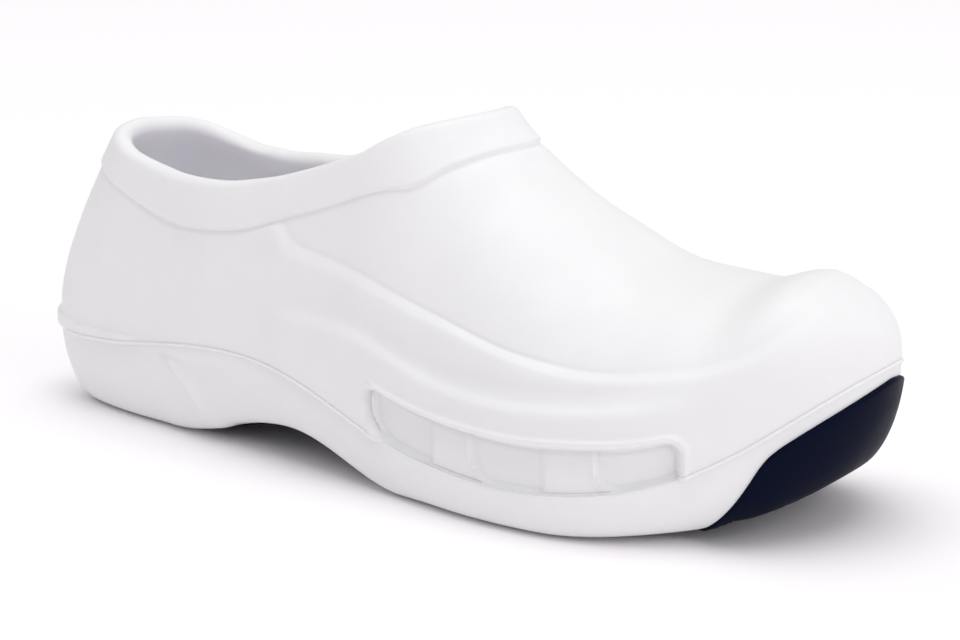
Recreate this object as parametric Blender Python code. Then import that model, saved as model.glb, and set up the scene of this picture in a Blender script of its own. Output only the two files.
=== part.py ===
"""Foam clog for the right foot: moulded upper, midsole tray, rubber outsole and insole.

Metres. +X to the toe, +Y to the inner side of the foot, +Z up, the floor at z = 0.
"""
from math import pi, radians

import bmesh
import bpy
import numpy as np
from mathutils import Matrix

# driving sizes
LENGTH = 0.292            # heel to toe tip at the parting line
BALL_WIDTH = 0.108        # across the ball at the parting line
SEAM_RISE = 0.0470        # parting line above the datum at the toe tip
TREAD_DROP = 0.0016       # floor below the datum that heights are measured from
RIDGE_TOP = 0.135         # height that the vamp's ridge is measured in
COLLAR_TOP = 0.108        # height that the collar is measured in
TOE_SPRING = 0.0190       # floor to the sole at the toe tip
TUCK = 0.0135             # how far the sole's side draws in, at most
EDGE_LIFT = 0.0008        # white edge above the rubber's tread
WALL = 0.0045             # moulded wall
COLLAR_WALL = 0.0056      # wall at the rolled rim, without its band
BAND_PROUD = 0.0010       # collar band above the wall
FEATURE_REACH = 0.050     # distance up the wall that the features are measured in
HEEL_CLOSE = 0.335        # share of the length in which the heel closes
HEEL_BOW = 2.08           # how the heel's back closes, seen from the side
HEEL_SWELL = 1.26
TOE_CLOSE = 0.30          # share of the length in which the toe box closes
PATH_LEAD = 0.30          # how early a rib goes forward
PATH_RISE = 0.70          # how early a rib goes inward
COLLAR_LAG = 0.10         # how far the collar's stations run ahead of the sole's
SPINE_START = 0.10        # ends of the line along the bottom where the ribs meet
SPINE_END = 0.89
BED_HEIGHT = 0.022        # height that the footbed is measured in
BED_DRAW = 0.55           # share of the tuck that the tray's inner side draws in
RECESS = 0.0022           # depth of the outsole's seat in the midsole
RUBBER_INSET = 0.0040     # outsole's edge in from the white edge, on the underside
TOE_PROUD = 0.0005        # extra that the toe bumper stands out
INSOLE_THICKNESS = 0.0040
INSOLE_INSET = 0.0010
GAP = 0.0003
EDGE_GAP = 0.0004         # round the rubber's edge, where it climbs steeply
LIP_HEIGHT = 0.0050       # raised lip on the upper's lower edge round the heel
LIP_FALL = 0.62           # share of its height that the lip loses to its end
LIP_PROUD = 0.0010
LIP_END = 0.215
UPPER_STEP = 0.0013       # bulge below the upper crease
LOWER_STEP = 0.0012       # bulge below the lower crease
WINDOW_START = 0.498      # side recess, as shares of the half outline
WINDOW_END = 0.806
WINDOW_DEPTH = 0.0020
WINDOW_ROUND = 0.0055     # its upper corners
WINDOW_TOE_IN = 0.0090    # its lower corner to the heel
WINDOW_LIP = 0.0007
POCKET_DEPTH = 0.0008
FACET_DEPTH = 0.0011      # recess ahead of the slanted heel line on the midsole
GROOVE_WIDTH = 0.0034
GROOVE_DEPTH = 0.0016

# tables: shares of the sizes above
# outline of the parting line, seen from above, heel back first and outer side first
OUTLINE = {
    "columns": ("along", "across", "rise"),
    "heel back": (0.000, 0.020, 0.550),
    "heel corner out": (0.035, -0.430, 0.514),
    "heel out": (0.120, -0.560, 0.514),
    "waist out": (0.250, -0.690, 0.628),
    "arch out": (0.400, -0.778, 0.612),
    "ball rear out": (0.540, -0.898, 0.347),
    "ball out": (0.660, -1.000, 0.242),
    "toes out": (0.780, -0.966, 0.277),
    "toe corner out": (0.890, -0.690, 0.500),
    "toe out": (0.965, -0.305, 0.838),
    "toe tip": (1.000, 0.160, 1.000),
    "toe in": (0.975, 0.580, 0.897),
    "toe corner in": (0.900, 0.850, 0.578),
    "toes in": (0.800, 0.970, 0.330),
    "ball in": (0.700, 1.000, 0.255),
    "ball rear in": (0.560, 0.880, 0.348),
    "arch in": (0.420, 0.720, 0.604),
    "waist in": (0.270, 0.650, 0.629),
    "heel in": (0.130, 0.590, 0.514),
    "heel corner in": (0.035, 0.450, 0.514),
}
# top centre line and the shape of each cross-section, along the length
RIDGE = {
    "columns": ("along", "height", "bow", "swell"),
    "heel": (0.00, 0.996, 2.30, 3.00),
    "heel middle": (0.11, 1.060, 2.40, 2.90),
    "heel front": (0.21, 1.110, 1.90, 1.80),
    "waist": (0.36, 0.975, 1.50, 1.70),
    "throat": (0.48, 0.975, 1.85, 1.58),
    "instep": (0.58, 0.754, 2.10, 1.60),
    "vamp": (0.68, 0.601, 2.12, 1.85),
    "ball": (0.78, 0.522, 2.15, 2.08),
    "toes": (0.86, 0.538, 2.22, 2.35),
    "toe box": (0.93, 0.614, 2.60, 2.35),
    "toe": (1.00, 0.600, 2.70, 2.25),
}
# height of the collar's outer and inner sides, along the length
COLLAR = {
    "columns": ("along", "outer", "inner"),
    "back": (0.02, 0.866, 0.866),
    "heel": (0.09, 0.840, 0.828),
    "heel front": (0.15, 0.780, 0.772),
    "dip rear": (0.24, 0.739, 0.728),
    "dip front": (0.30, 0.746, 0.738),
    "quarter": (0.36, 0.779, 0.764),
    "quarter front": (0.42, 0.832, 0.815),
    "throat side": (0.48, 0.896, 0.885),
    "throat front": (0.53, 0.956, 0.950),
    "throat": (0.57, 0.984, 0.984),
}
# underside, along the length: its rise, its tuck, how round its edge is, and the footbed
SOLE = {
    "columns": ("along", "rise", "tuck", "round", "bed"),
    "heel back": (0.00, 0.09, 0.86, 1.22, 0.91),
    "heel": (0.06, 0.00, 0.68, 1.06, 0.91),
    "heel side": (0.14, 0.00, 0.50, 0.92, 0.92),
    "heel front": (0.21, 0.00, 0.60, 0.90, 0.93),
    "arch": (0.40, 0.52, 0.55, 0.86, 0.93),
    "ball rear": (0.56, 0.00, 0.42, 0.80, 0.44),
    "ball front": (0.73, 0.00, 0.44, 0.80, 0.42),
    "toes": (0.86, 0.16, 0.76, 0.92, 0.62),
    "toe box": (0.93, 0.56, 0.90, 1.00, 0.90),
    "toe": (1.00, 1.44, 1.00, 1.05, 1.34),
}
# features up the wall from the parting line, along the half outline from heel to toe
FEATURES = {
    "columns": ("along", "window", "lower", "upper", "band"),
    "heel": (0.00, 0.24, 0.46, 0.72, 0.19),
    "heel side": (0.14, 0.24, 0.46, 0.66, 0.20),
    "waist": (0.27, 0.20, 0.38, 0.62, 0.25),
    "waist front": (0.34, 0.18, 0.30, 0.66, 0.27),
    "notch": (0.42, 0.25, 0.46, 0.86, 0.27),
    "arch": (0.505, 0.292, 0.598, 0.980, 0.305),
    "quarter": (0.60, 0.294, 0.556, 1.000, 0.34),
    "vamp side": (0.70, 0.284, 0.536, 0.846, 0.31),
    "ball": (0.80, 0.232, 0.480, 0.660, 0.25),
    "toe corner": (0.888, 0.200, 0.390, 0.526, 0.23),
    "toe": (1.00, 0.200, 0.380, 0.600, 0.24),
}
# edge of the rubber below the parting line, along the half outline, in tucks
RUBBER_EDGE = {
    "columns": ("along", "below"),
    "bumper start": (0.820, 1.86),
    "bumper foot": (0.836, 1.54),
    "bumper rear": (0.848, 1.26),
    "bumper climb": (0.857, 1.00),
    "bumper rise": (0.864, 0.77),
    "bumper bend": (0.870, 0.59),
    "bumper shoulder": (0.878, 0.46),
    "bumper top": (0.890, 0.41),
    "toe out": (0.930, 0.385),
    "toe tip": (1.000, 0.27),
}
# how closely the stations stand, along the half outline
DENSITY = {
    "columns": ("along", "weight"),
    "heel": (0.00, 1.0),
    "heel side": (0.16, 1.2),
    "facet": (0.25, 1.5),
    "waist": (0.36, 1.3),
    "window": (0.50, 2.6),
    "window end": (0.81, 2.6),
    "bumper rear": (0.845, 4.5),
    "bumper shoulder": (0.875, 4.5),
    "bumper": (0.91, 1.6),
    "toe": (1.00, 1.0),
}
HALF_STATIONS = 48
# rings down the sole's side, then under it to the spine
SIDE_SHARES = np.array([[0.0, 0.08, 0.25, 0.45, 0.65, 0.85]])
UNDER_SHARES = np.array([[0.0, 0.08, 0.20, 0.38, 0.66, 1.0]])
UNDER_END = 0.86
EDGE_RING = SIDE_SHARES.size
# rubber grooves: place along the length, turn in degrees, half width in half ball widths
GROOVES = {
    "columns": ("along", "turn", "reach"),
    "heel 1": (0.085, 0, 0.22),
    "heel 2": (0.130, 0, 0.28),
    "heel 3": (0.175, 0, 0.31),
    "heel 4": (0.220, 0, 0.33),
    "ball 1": (0.560, 8, 0.50),
    "ball 2": (0.605, 8, 0.56),
    "ball 3": (0.650, 8, 0.60),
    "ball 4": (0.695, 8, 0.62),
    "ball 5": (0.740, 8, 0.60),
    "toes": (0.785, 8, 0.55),
}


def column(table, name):
    """One named column of a table, as an array."""
    place = table["columns"].index(name)
    return np.array([row[place] for key, row in table.items() if key != "columns"], float)


def along_table(table, name, at):
    """Smooth curve through a table's rows that never swings past a row."""
    x, y = column(table, "along"), column(table, name)
    step = np.diff(y) / np.diff(x)
    slope = np.zeros(len(x))
    left, right = step[:-1], step[1:]
    same = left * right > 0
    slope[1:-1][same] = 2 * left[same] * right[same] / (left[same] + right[same])
    slope[0], slope[-1] = step[0], step[-1]
    s = np.clip(np.asarray(at, float), x[0], x[-1])
    i = np.clip(np.searchsorted(x, s, "right") - 1, 0, len(x) - 2)
    gap = x[i + 1] - x[i]
    t = (s - x[i]) / gap
    start, end = 2 * t**3 - 3 * t**2 + 1, 3 * t**2 - 2 * t**3
    return start * y[i] + end * y[i + 1] + gap * ((t**3 - 2 * t**2 + t) * slope[i] + (t**3 - t**2) * slope[i + 1])


def ease(x):
    """Smooth step from 0 to 1."""
    t = np.clip(x, 0, 1)
    return t * t * (3 - 2 * t)


def arc(points):
    """Distance along a line of points."""
    return np.concatenate([[0], np.cumsum(np.linalg.norm(np.diff(points, axis=0), axis=1))])


def closed_spline(points, count):
    """Closed cubic spline through the points."""
    step = np.linalg.norm(np.roll(points, -1, 0)[:, :2] - points[:, :2], axis=1)
    size = len(points)
    matrix, right = np.zeros((size, size)), np.zeros_like(points)
    for i in range(size):
        before, after = step[i - 1], step[i]
        follower = (i + 1) % size
        matrix[i, i - 1] += before
        matrix[i, i] += 2 * (before + after)
        matrix[i, follower] += after
        right[i] = 6 * ((points[follower] - points[i]) / after - (points[i] - points[i - 1]) / before)
    bend = np.linalg.solve(matrix, right)
    knots = np.concatenate([[0], np.cumsum(step)])
    t = np.linspace(0, knots[-1], count, endpoint=False)
    i = np.clip(np.searchsorted(knots, t, "right") - 1, 0, size - 1)
    j = (i + 1) % size
    a, b, h = (knots[i + 1] - t)[:, None], (t - knots[i])[:, None], step[i][:, None]
    curve = (bend[i] * a**3 + bend[j] * b**3) / (6 * h)
    return curve + (points[i] / h - bend[i] * h / 6) * a + (points[j] / h - bend[j] * h / 6) * b


def outline_halves():
    """Parting line from heel to toe, on the outer and on the inner side."""
    points = np.stack([column(OUTLINE, "along") * LENGTH,
                       column(OUTLINE, "across") * BALL_WIDTH / 2,
                       column(OUTLINE, "rise") * SEAM_RISE], 1)
    line = closed_spline(points, 6000)
    line = np.roll(line, -int(np.argmin(line[:, 0])), 0)
    toe = int(np.argmax(line[:, 0]))
    return line[:toe + 1], np.vstack([line[toe:], line[:1]])[::-1]


OUTER, INNER = outline_halves()


def share(x):
    """Place along the length, 0 at the heel and 1 at the toe."""
    return np.clip((x - OUTER[0, 0]) / (OUTER[-1, 0] - OUTER[0, 0]), 0, 1)


def axis(x):
    """Middle line of the foot, seen from above."""
    s = share(x)
    return OUTER[0, 1] + (OUTER[-1, 1] - OUTER[0, 1]) * (0.55 * s + 0.45 * s * s)


def form_height(x, y):
    """Height of the upper's outer form above a point of the plan."""
    s, middle = share(x), axis(x)
    side_y = [np.interp(x, line[:, 0], line[:, 1]) for line in (OUTER, INNER)]
    side_z = [np.interp(x, line[:, 0], line[:, 2]) for line in (OUTER, INNER)]
    edge = np.where(y < middle, side_y[0] - middle, side_y[1] - middle)
    n = np.clip((y - middle) / np.where(np.abs(edge) > 1e-9, edge, 1), 0, 1)
    signed = np.where(y < middle, -n, n)
    seam = side_z[0] + (side_z[1] - side_z[0]) * (signed + 1) / 2
    bow, swell = along_table(RIDGE, "bow", s), along_table(RIDGE, "swell", s)
    top = along_table(RIDGE, "height", s) * RIDGE_TOP
    ahead = np.clip((s - 1 + TOE_CLOSE) / TOE_CLOSE, 0, 1)
    behind = np.clip((HEEL_CLOSE - s) / HEEL_CLOSE, 0, 1)
    closing = (1 - ahead**bow)**(1 / swell) * (1 - behind**HEEL_BOW)**(1 / HEEL_SWELL)
    return seam + (top - seam) * closing * (1 - n**bow)**(1 / swell)


def collar_halves(count=400):
    """Line where the form reaches the collar's height, from back to front on both sides."""
    s = np.linspace(0, 0.62, 6001)
    x = OUTER[0, 0] + s * (OUTER[-1, 0] - OUTER[0, 0])
    inside = np.where(form_height(x, axis(x)) > along_table(COLLAR, "outer", s) * COLLAR_TOP)[0]
    back, front = x[inside[0]], x[inside[-1]]
    x = back + (front - back) * (1 - np.cos(np.linspace(0, pi, count))) / 2
    halves = []
    for line, name in ((OUTER, "outer"), (INNER, "inner")):
        rim = along_table(COLLAR, name, share(x)) * COLLAR_TOP
        reach = np.interp(x, line[:, 0], line[:, 1]) - axis(x)
        low, high = np.zeros(count), np.ones(count)
        for _ in range(36):
            n = (low + high) / 2
            over = form_height(x, axis(x) + reach * n) > rim
            low, high = np.where(over, n, low), np.where(over, high, n)
        halves.append(np.stack([x, axis(x) + reach * low, rim], 1))
    return halves


COLLARS = collar_halves()


def foot_line(w, side):
    """Points of the parting line at the stations, and the way inward there, seen from above."""
    line = (OUTER, INNER)[side]
    place = arc(line[:, :2])
    place = place / place[-1]
    foot = np.stack([np.interp(w, place, line[:, k]) for k in range(3)], 1)
    run = np.gradient(line[:, :2], axis=0)
    turned = np.stack([-run[:, 1], run[:, 0]], 1) * (1, -1)[side]
    turned /= np.linalg.norm(turned, axis=1)[:, None]
    inward = np.stack([np.interp(w, place, turned[:, k]) for k in range(2)], 1)
    inward[w <= 0] = (1, 0)
    inward[w >= 1] = (-1, 0)
    return foot, inward / np.linalg.norm(inward, axis=1)[:, None]


def wall_ribs(w, side, dense=240):
    """Dense lines up the outer form, from the parting line to the collar."""
    foot, _ = foot_line(w, side)
    collar = COLLARS[side]
    place = arc(collar)
    reached = (w + COLLAR_LAG * np.sin(pi * w)) * place[-1]
    rim = np.stack([np.interp(reached, place, collar[:, k]) for k in range(3)], 1)
    lead = foot[:, :2] + (rim[:, :2] - foot[:, :2]) * np.array([PATH_LEAD, PATH_RISE])
    t = (np.linspace(0, 1, dense)**2.2)[None, :, None]
    plan = foot[:, None, :2] * (1 - t)**2 + 2 * lead[:, None] * t * (1 - t) + rim[:, None, :2] * t**2
    z = form_height(plan[..., 0], plan[..., 1])
    z[:, 0], z[:, -1] = foot[:, 2], rim[:, 2]
    return np.concatenate([plan, z[..., None]], 2)


def ground(x):
    """Height of the tread above the datum: arch and toe spring."""
    return along_table(SOLE, "rise", share(x)) * TOE_SPRING - TREAD_DROP


def sole_ribs(w, side, dense=60):
    """Dense lines from the parting line down the side and in along the underside; the edge's index."""
    foot, inward = foot_line(w, side)
    s = share(foot[:, 0])
    tuck = (along_table(SOLE, "tuck", s) * TUCK)[:, None]
    bend = along_table(SOLE, "round", s)[:, None]
    edge = foot[:, :2] + inward * tuck
    base = ground(edge[:, 0]) + EDGE_LIFT
    turn = np.linspace(0, pi / 2, dense)[None]
    in_by = tuck * (1 - np.cos(turn)**bend)
    z = foot[:, 2:3] + (base - foot[:, 2])[:, None] * np.sin(turn)**bend
    xy = foot[:, None, :2] + inward[:, None] * in_by[..., None]
    flank = np.concatenate([xy, z[..., None]], 2)
    spine_x = LENGTH * SPINE_START + (SPINE_END - SPINE_START) * foot[:, 0]
    spine = np.stack([spine_x, axis(spine_x)], 1)
    t = np.linspace(0, 1, dense)[1:][None, :, None]
    xy = edge[:, None] + (spine - edge)[:, None] * t
    under = np.concatenate([xy, (ground(xy[..., 0]) + EDGE_LIFT)[..., None]], 2)
    return np.concatenate([flank, under], 1), dense - 1


def stations(half_count):
    """Shares of the half outline, heel to toe, closer together where the wall has detail."""
    w = np.linspace(0, 1, 2001)
    weight = along_table(DENSITY, "weight", w)
    total = np.concatenate([[0], np.cumsum((weight[1:] + weight[:-1]) / 2)])
    return np.interp(np.linspace(0, total[-1], half_count + 1), total, w)


def sample(ribs, distances):
    """Points at the given distances along each rib."""
    steps = np.linalg.norm(np.diff(ribs, axis=1), axis=2)
    run = np.concatenate([np.zeros((len(ribs), 1)), np.cumsum(steps, 1)], 1)
    points = np.empty(distances.shape + (3,))
    for i in range(len(ribs)):
        for k in range(3):
            points[i, :, k] = np.interp(distances[i], run[i], ribs[i, :, k])
    return points


def rib_length(ribs):
    return np.linalg.norm(np.diff(ribs, axis=1), axis=2).sum(1)


def both_sides(make, w):
    """Stations once round: outer side heel to toe, then inner side toe to heel."""
    return np.concatenate([make(w, 0), make(w, 1)[-2:0:-1]])


def loop_normals(grid):
    """Outward normals of a grid of stations round the shoe and levels up it."""
    round_it = np.roll(grid, -1, 0) - np.roll(grid, 1, 0)
    up_it = np.gradient(grid, axis=1)
    normal = np.cross(round_it, up_it)
    return normal / np.linalg.norm(normal, axis=2)[..., None]


def window_inside(w, up, half_length):
    """Distance inside the side recess's edge, negative outside it."""
    top = along_table(FEATURES, "window", w) * FEATURE_REACH
    ends = np.minimum(w - WINDOW_START, WINDOW_END - w) * half_length
    corner = WINDOW_ROUND - np.hypot(WINDOW_ROUND - ends, WINDOW_ROUND - (top - up))
    in_corner = (ends < WINDOW_ROUND) & (top - up < WINDOW_ROUND)
    upper = np.where(in_corner, corner, np.minimum(ends, top - up))
    ahead = (w - WINDOW_START) * half_length
    lower = WINDOW_TOE_IN - np.hypot(WINDOW_TOE_IN - ahead, WINDOW_TOE_IN - up)
    in_lower = (ahead < WINDOW_TOE_IN) & (up < WINDOW_TOE_IN)
    return np.where(in_lower, np.minimum(upper, lower), upper)


def pocket(w, up, half_length, start, end):
    """One of the deeper lozenge pockets in the recess: 1 inside it."""
    top = along_table(FEATURES, "window", w) * FEATURE_REACH
    middle, half = top * 0.5, top * 0.5
    bulge = np.sqrt(np.clip(1 - ((up - middle) / half)**2, 0, 1)) * 0.006 / half_length
    return ease((w - start + bulge) * half_length / 0.0022) * ease((end + bulge - w) * half_length / 0.0022)


def bulge_below(below, step, width, fade):
    """Profile under a crease: up at once, then back down to a third of its height."""
    return step * ease(below / width) * (1 - 0.62 * ease((below - width) / fade))


def relief(w, up, total, half_length):
    """How far the features stand out of the form, at a distance up the wall."""
    band = along_table(FEATURES, "band", w) * FEATURE_REACH
    out = BAND_PROUD * ease((band - (total - up)) / 0.0012 + 0.5)
    upper = along_table(FEATURES, "upper", w) * FEATURE_REACH - up
    lower = along_table(FEATURES, "lower", w) * FEATURE_REACH - up
    depth = ease(upper / 0.016)
    start = ease((w - 0.400 + 0.07 * depth) / (0.022 + 0.11 * depth)) * (1 - ease((w - 0.88) / 0.085))
    out = out + start * bulge_below(upper, UPPER_STEP, 0.0042, 0.017)
    shown = ease((w - 0.36) / 0.05) * (1 - ease((w - 0.76) / 0.08))
    out = out + shown * bulge_below(lower, LOWER_STEP, 0.0042, 0.014)
    lip = LIP_HEIGHT * (1 - LIP_FALL * w / LIP_END)
    out = out + LIP_PROUD * ease((lip - up) / 0.0010 + 0.5) * ease((LIP_END - w) / 0.03)
    inside = window_inside(w, up, half_length)
    out = out * (1 - ease(inside / 0.0016)) - WINDOW_DEPTH * ease(inside / 0.0016)
    out = out + WINDOW_LIP * np.exp(-((inside + 0.0013) / 0.0012)**2)
    hollow = (pocket(w, up, half_length, 0.46, 0.562) + pocket(w, up, half_length, 0.632, 0.676)
              + pocket(w, up, half_length, 0.749, 0.88))
    return out - POCKET_DEPTH * hollow * ease((inside - 0.0010) / 0.0022) * ease((up - 0.0006) / 0.001)


def upper_levels(w, total):
    """Distances up the wall at which the upper has its rings, following its features."""
    window = along_table(FEATURES, "window", w) * FEATURE_REACH
    lower = along_table(FEATURES, "lower", w) * FEATURE_REACH
    upper = along_table(FEATURES, "upper", w) * FEATURE_REACH
    band = total - along_table(FEATURES, "band", w) * FEATURE_REACH
    lip = np.clip(LIP_HEIGHT * (1 - LIP_FALL * w / LIP_END), 0.0016, None)
    rows = [0 * w, np.minimum(lip - 0.0006, window * 0.3), np.minimum(lip + 0.0006, window * 0.45)]
    rows += [window - 0.0048, window - 0.0018, window, window + 0.0016]
    rows += [lower - 0.0042, lower, lower * 0.5 + upper * 0.5, upper - 0.0040, upper]
    rows += [upper + (band - upper) * k for k in (0.14, 0.28, 0.42, 0.56, 0.70, 0.84)]
    rows += [band - 0.0006, band + 0.0006, (band + total) / 2, total]
    levels = np.stack(rows, 1)
    for k in range(1, levels.shape[1] - 1):
        levels[:, k] = np.maximum(levels[:, k], levels[:, k - 1] + 0.0007)
    for k in range(levels.shape[1] - 2, 0, -1):
        levels[:, k] = np.minimum(levels[:, k], levels[:, k + 1] - 0.0007)
    return levels


def upper_rings():
    """Closed wall of the upper: up the outside, over the rim, down the inside."""
    w = stations(HALF_STATIONS)
    round_w = np.concatenate([w, w[-2:0:-1]])
    half_length = arc(OUTER)[-1]
    foot = both_sides(lambda at, side: foot_line(at, side)[0], w)
    inward = both_sides(lambda at, side: foot_line(at, side)[1], w)
    ribs = both_sides(wall_ribs, w)
    total = rib_length(ribs)
    levels = upper_levels(round_w, total)
    form = sample(ribs, levels)
    normal = loop_normals(form)
    # near the parting line the wall is upright, so its thickness is level there
    upright = (1 - ease(levels / 0.010))[..., None]
    level_out = np.concatenate([-inward, np.zeros((len(inward), 1))], 1)[:, None]
    normal = normal * (1 - upright) + level_out * upright
    normal /= np.linalg.norm(normal, axis=2)[..., None]
    raised = relief(round_w[:, None], levels, total[:, None], half_length)
    outside = form + normal * raised[..., None]
    outside[:, 0, 2] = foot[:, 2] + GAP
    rim_normal = normal[:, -1]
    rim_up = form[:, -1] - form[:, -2]
    rim_up /= np.linalg.norm(rim_up, axis=1)[:, None]
    radius = (COLLAR_WALL + BAND_PROUD) / 2
    centre = form[:, -1] + rim_normal * (BAND_PROUD - radius)
    rim = [centre + radius * (np.cos(a) * rim_normal + np.sin(a) * rim_up)
           for a in np.linspace(0, pi, 5)[1:-1]]
    kept = [0, 3, 7, 10, 13, 15, 17, 21]
    near_rim = ease(1 - (total[:, None] - levels) / 0.012)
    wall = WALL + (COLLAR_WALL - WALL) * near_rim
    inside = form - normal * wall[..., None]
    inside[:, 0] = np.concatenate([foot[:, :2] + inward * WALL, foot[:, 2:3] + GAP], 1)
    rings = [outside[:, k] for k in range(outside.shape[1])] + rim
    return rings + [inside[:, k] for k in reversed(kept)]


def facet(w, down):
    """Slanted line on the heel side of the midsole, with the side set back ahead of it."""
    line = 0.215 + 0.077 * np.clip(down / 0.023, 0, 1.2)**0.55
    return -FACET_DEPTH * ease((w - line) / 0.016) * (1 - ease((w - line - 0.016) / 0.14))


def rubber_edge(w, side_length):
    """Distance from the parting line, down the side, at which the rubber starts."""
    climbing = along_table(RUBBER_EDGE, "below", w) * TUCK
    under = side_length + RUBBER_INSET
    blend = ease((w - 0.800) / 0.036)
    return under * (1 - blend) + np.minimum(climbing, under) * blend


def sole_half(w, side):
    """Points on the sole's skin, from the parting line to the rubber's edge and then inward."""
    ribs, edge = sole_ribs(w, side)
    border = rubber_edge(w, rib_length(ribs[:, :edge + 1]))[:, None]
    inner_end = rib_length(ribs)[:, None] * UNDER_END
    distances = np.concatenate([border * SIDE_SHARES, border + (inner_end - border) * UNDER_SHARES], 1)
    return np.concatenate([sample(ribs, distances), distances[..., None]], 2)


def sole_grid():
    """The sole's skin once round the shoe, the distances down it and its outward normals."""
    both = both_sides(sole_half, stations(HALF_STATIONS))
    grid, down = both[..., :3], both[..., 3]
    return grid, down, -loop_normals(grid)


def bed_ring(w):
    """Edge of the footbed inside the tray."""
    foot = both_sides(lambda at, side: foot_line(at, side)[0], w)
    inward = both_sides(lambda at, side: foot_line(at, side)[1], w)
    tuck = along_table(SOLE, "tuck", share(foot[:, 0])) * TUCK
    xy = foot[:, :2] + inward * (WALL + BED_DRAW * tuck)[:, None]
    z = along_table(SOLE, "bed", share(xy[:, 0])) * BED_HEIGHT
    return foot, inward, tuck[:, None], np.concatenate([xy, z[:, None]], 1)


def midsole_rings():
    """White tray: footbed, inner side, flat rim, outer side and the seat of the rubber."""
    w = stations(HALF_STATIONS)
    round_w = np.concatenate([w, w[-2:0:-1]])
    foot, inward, tuck, bed = bed_ring(w)
    grid, down, normal = sole_grid()
    set_back = facet(round_w[:, None], down) * (down < down[:, [EDGE_RING]])
    skin = grid + normal * set_back[..., None]
    seat = grid - normal * RECESS
    rim = np.concatenate([foot[:, :2] + inward * WALL, foot[:, 2:3]], 1)
    knee_xy = foot[:, :2] + inward * (WALL + 0.16 * BED_DRAW * tuck)
    knee = np.concatenate([knee_xy, rim[:, 2:3] * 0.35 + bed[:, 2:3] * 0.65], 1)
    flank = [skin[:, k] for k in range(EDGE_RING + 1)]
    return [bed, knee, rim] + flank + [seat[:, k] for k in range(EDGE_RING, grid.shape[1])]


def outsole_rings():
    """Rubber sheet in its seat, its edge standing out, with a bumper up the toe."""
    w = stations(HALF_STATIONS)
    round_w = np.concatenate([w, w[-2:0:-1]])
    grid, _, normal = sole_grid()
    grid, normal = grid[:, EDGE_RING:].copy(), normal[:, EDGE_RING:]
    run = np.roll(grid[:, 0], -1, 0) - np.roll(grid[:, 0], 1, 0)
    away = np.cross(normal[:, 0], run)
    away *= np.sign((away * (grid[:, 1] - grid[:, 0])).sum(1))[:, None]
    grid[:, 0] += away / np.linalg.norm(away, axis=1)[:, None] * EDGE_GAP
    proud = EDGE_LIFT + TOE_PROUD * ease((round_w - 0.84) / 0.06)
    face = grid + normal * proud[:, None, None]
    back = grid - normal * (RECESS - GAP)
    last = grid.shape[1] - 1
    return [face[:, k] for k in range(last, -1, -1)] + [back[:, k] for k in range(last + 1)]


def insole_rings():
    """Thin liner plate that lies on the footbed, a little inside its edge."""
    _, inward, _, bed = bed_ring(stations(HALF_STATIONS))
    count = len(bed)
    across = bed[(count - np.arange(count)) % count] - bed
    reach = np.linalg.norm(across, axis=1)[:, None]
    level_in = np.concatenate([inward, np.zeros((count, 1))], 1)
    across = np.where(reach > 1e-6, across / np.maximum(reach, 1e-6), level_in)
    edge = bed + across * INSOLE_INSET + np.array([0, 0, GAP])
    return [edge, edge + np.array([0, 0, INSOLE_THICKNESS])]


def material(name, colour, roughness):
    """Plain surface with a colour and a roughness."""
    made = bpy.data.materials.new(name)
    made.use_nodes = True
    shader = made.node_tree.nodes["Principled BSDF"]
    shader.inputs["Base Color"].default_value = (*colour, 1.0)
    shader.inputs["Roughness"].default_value = roughness
    shader.inputs["Metallic"].default_value = 0.0
    return made


def loft(name, rings, looped, surface, collection, centre):
    """One closed body through rings of equal counts; the end rings are bridged side to side."""
    mesh = bpy.data.meshes.new(name)
    body = bmesh.new()
    count = len(rings[0])
    half = count // 2
    rows = [[body.verts.new(point - centre) for point in ring] for ring in rings]
    pairs = list(zip(rows, rows[1:]))
    if looped:
        pairs.append((rows[-1], rows[0]))
    for low, high in pairs:
        for i in range(count):
            j = (i + 1) % count
            body.faces.new((low[i], low[j], high[j]))
            body.faces.new((low[i], high[j], high[i]))
    if not looped:
        for row in (rows[0], rows[-1]):
            for i in range(half):
                corners = [row[i], row[i + 1], row[count - i - 1], row[(count - i) % count]]
                kept = [v for k, v in enumerate(corners) if v not in corners[:k]]
                for k in range(1, len(kept) - 1):
                    body.faces.new((kept[0], kept[k], kept[k + 1]))
    bmesh.ops.recalc_face_normals(body, faces=body.faces)
    body.to_mesh(mesh)
    body.free()
    mesh.shade_smooth()
    mesh.set_sharp_from_angle(angle=radians(40))
    mesh.materials.append(surface)
    made = bpy.data.objects.new(name, mesh)
    collection.objects.link(made)
    return made


def groove_cutter(name, along, turn, reach, collection, centre):
    """A bar that cuts one groove across the tread, following its rise."""
    x = along * LENGTH
    body = bmesh.new()
    bmesh.ops.create_cube(body, size=1.0)
    size = Matrix.Diagonal((GROOVE_WIDTH, reach * BALL_WIDTH, 2 * GROOVE_DEPTH, 1.0))
    bmesh.ops.transform(body, matrix=size, verts=body.verts)
    mesh = bpy.data.meshes.new(name)
    body.to_mesh(mesh)
    body.free()
    cutter = bpy.data.objects.new(name, mesh)
    cutter.location = (x - centre[0], float(axis(x)) - centre[1], float(ground(x)) - centre[2])
    slope = float(ground(x + 0.002) - ground(x - 0.002)) / 0.004
    cutter.rotation_euler = (0.0, -np.arctan(slope), radians(turn))
    cutter.hide_render = True
    cutter.display_type = "WIRE"
    collection.objects.link(cutter)
    return cutter


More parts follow.
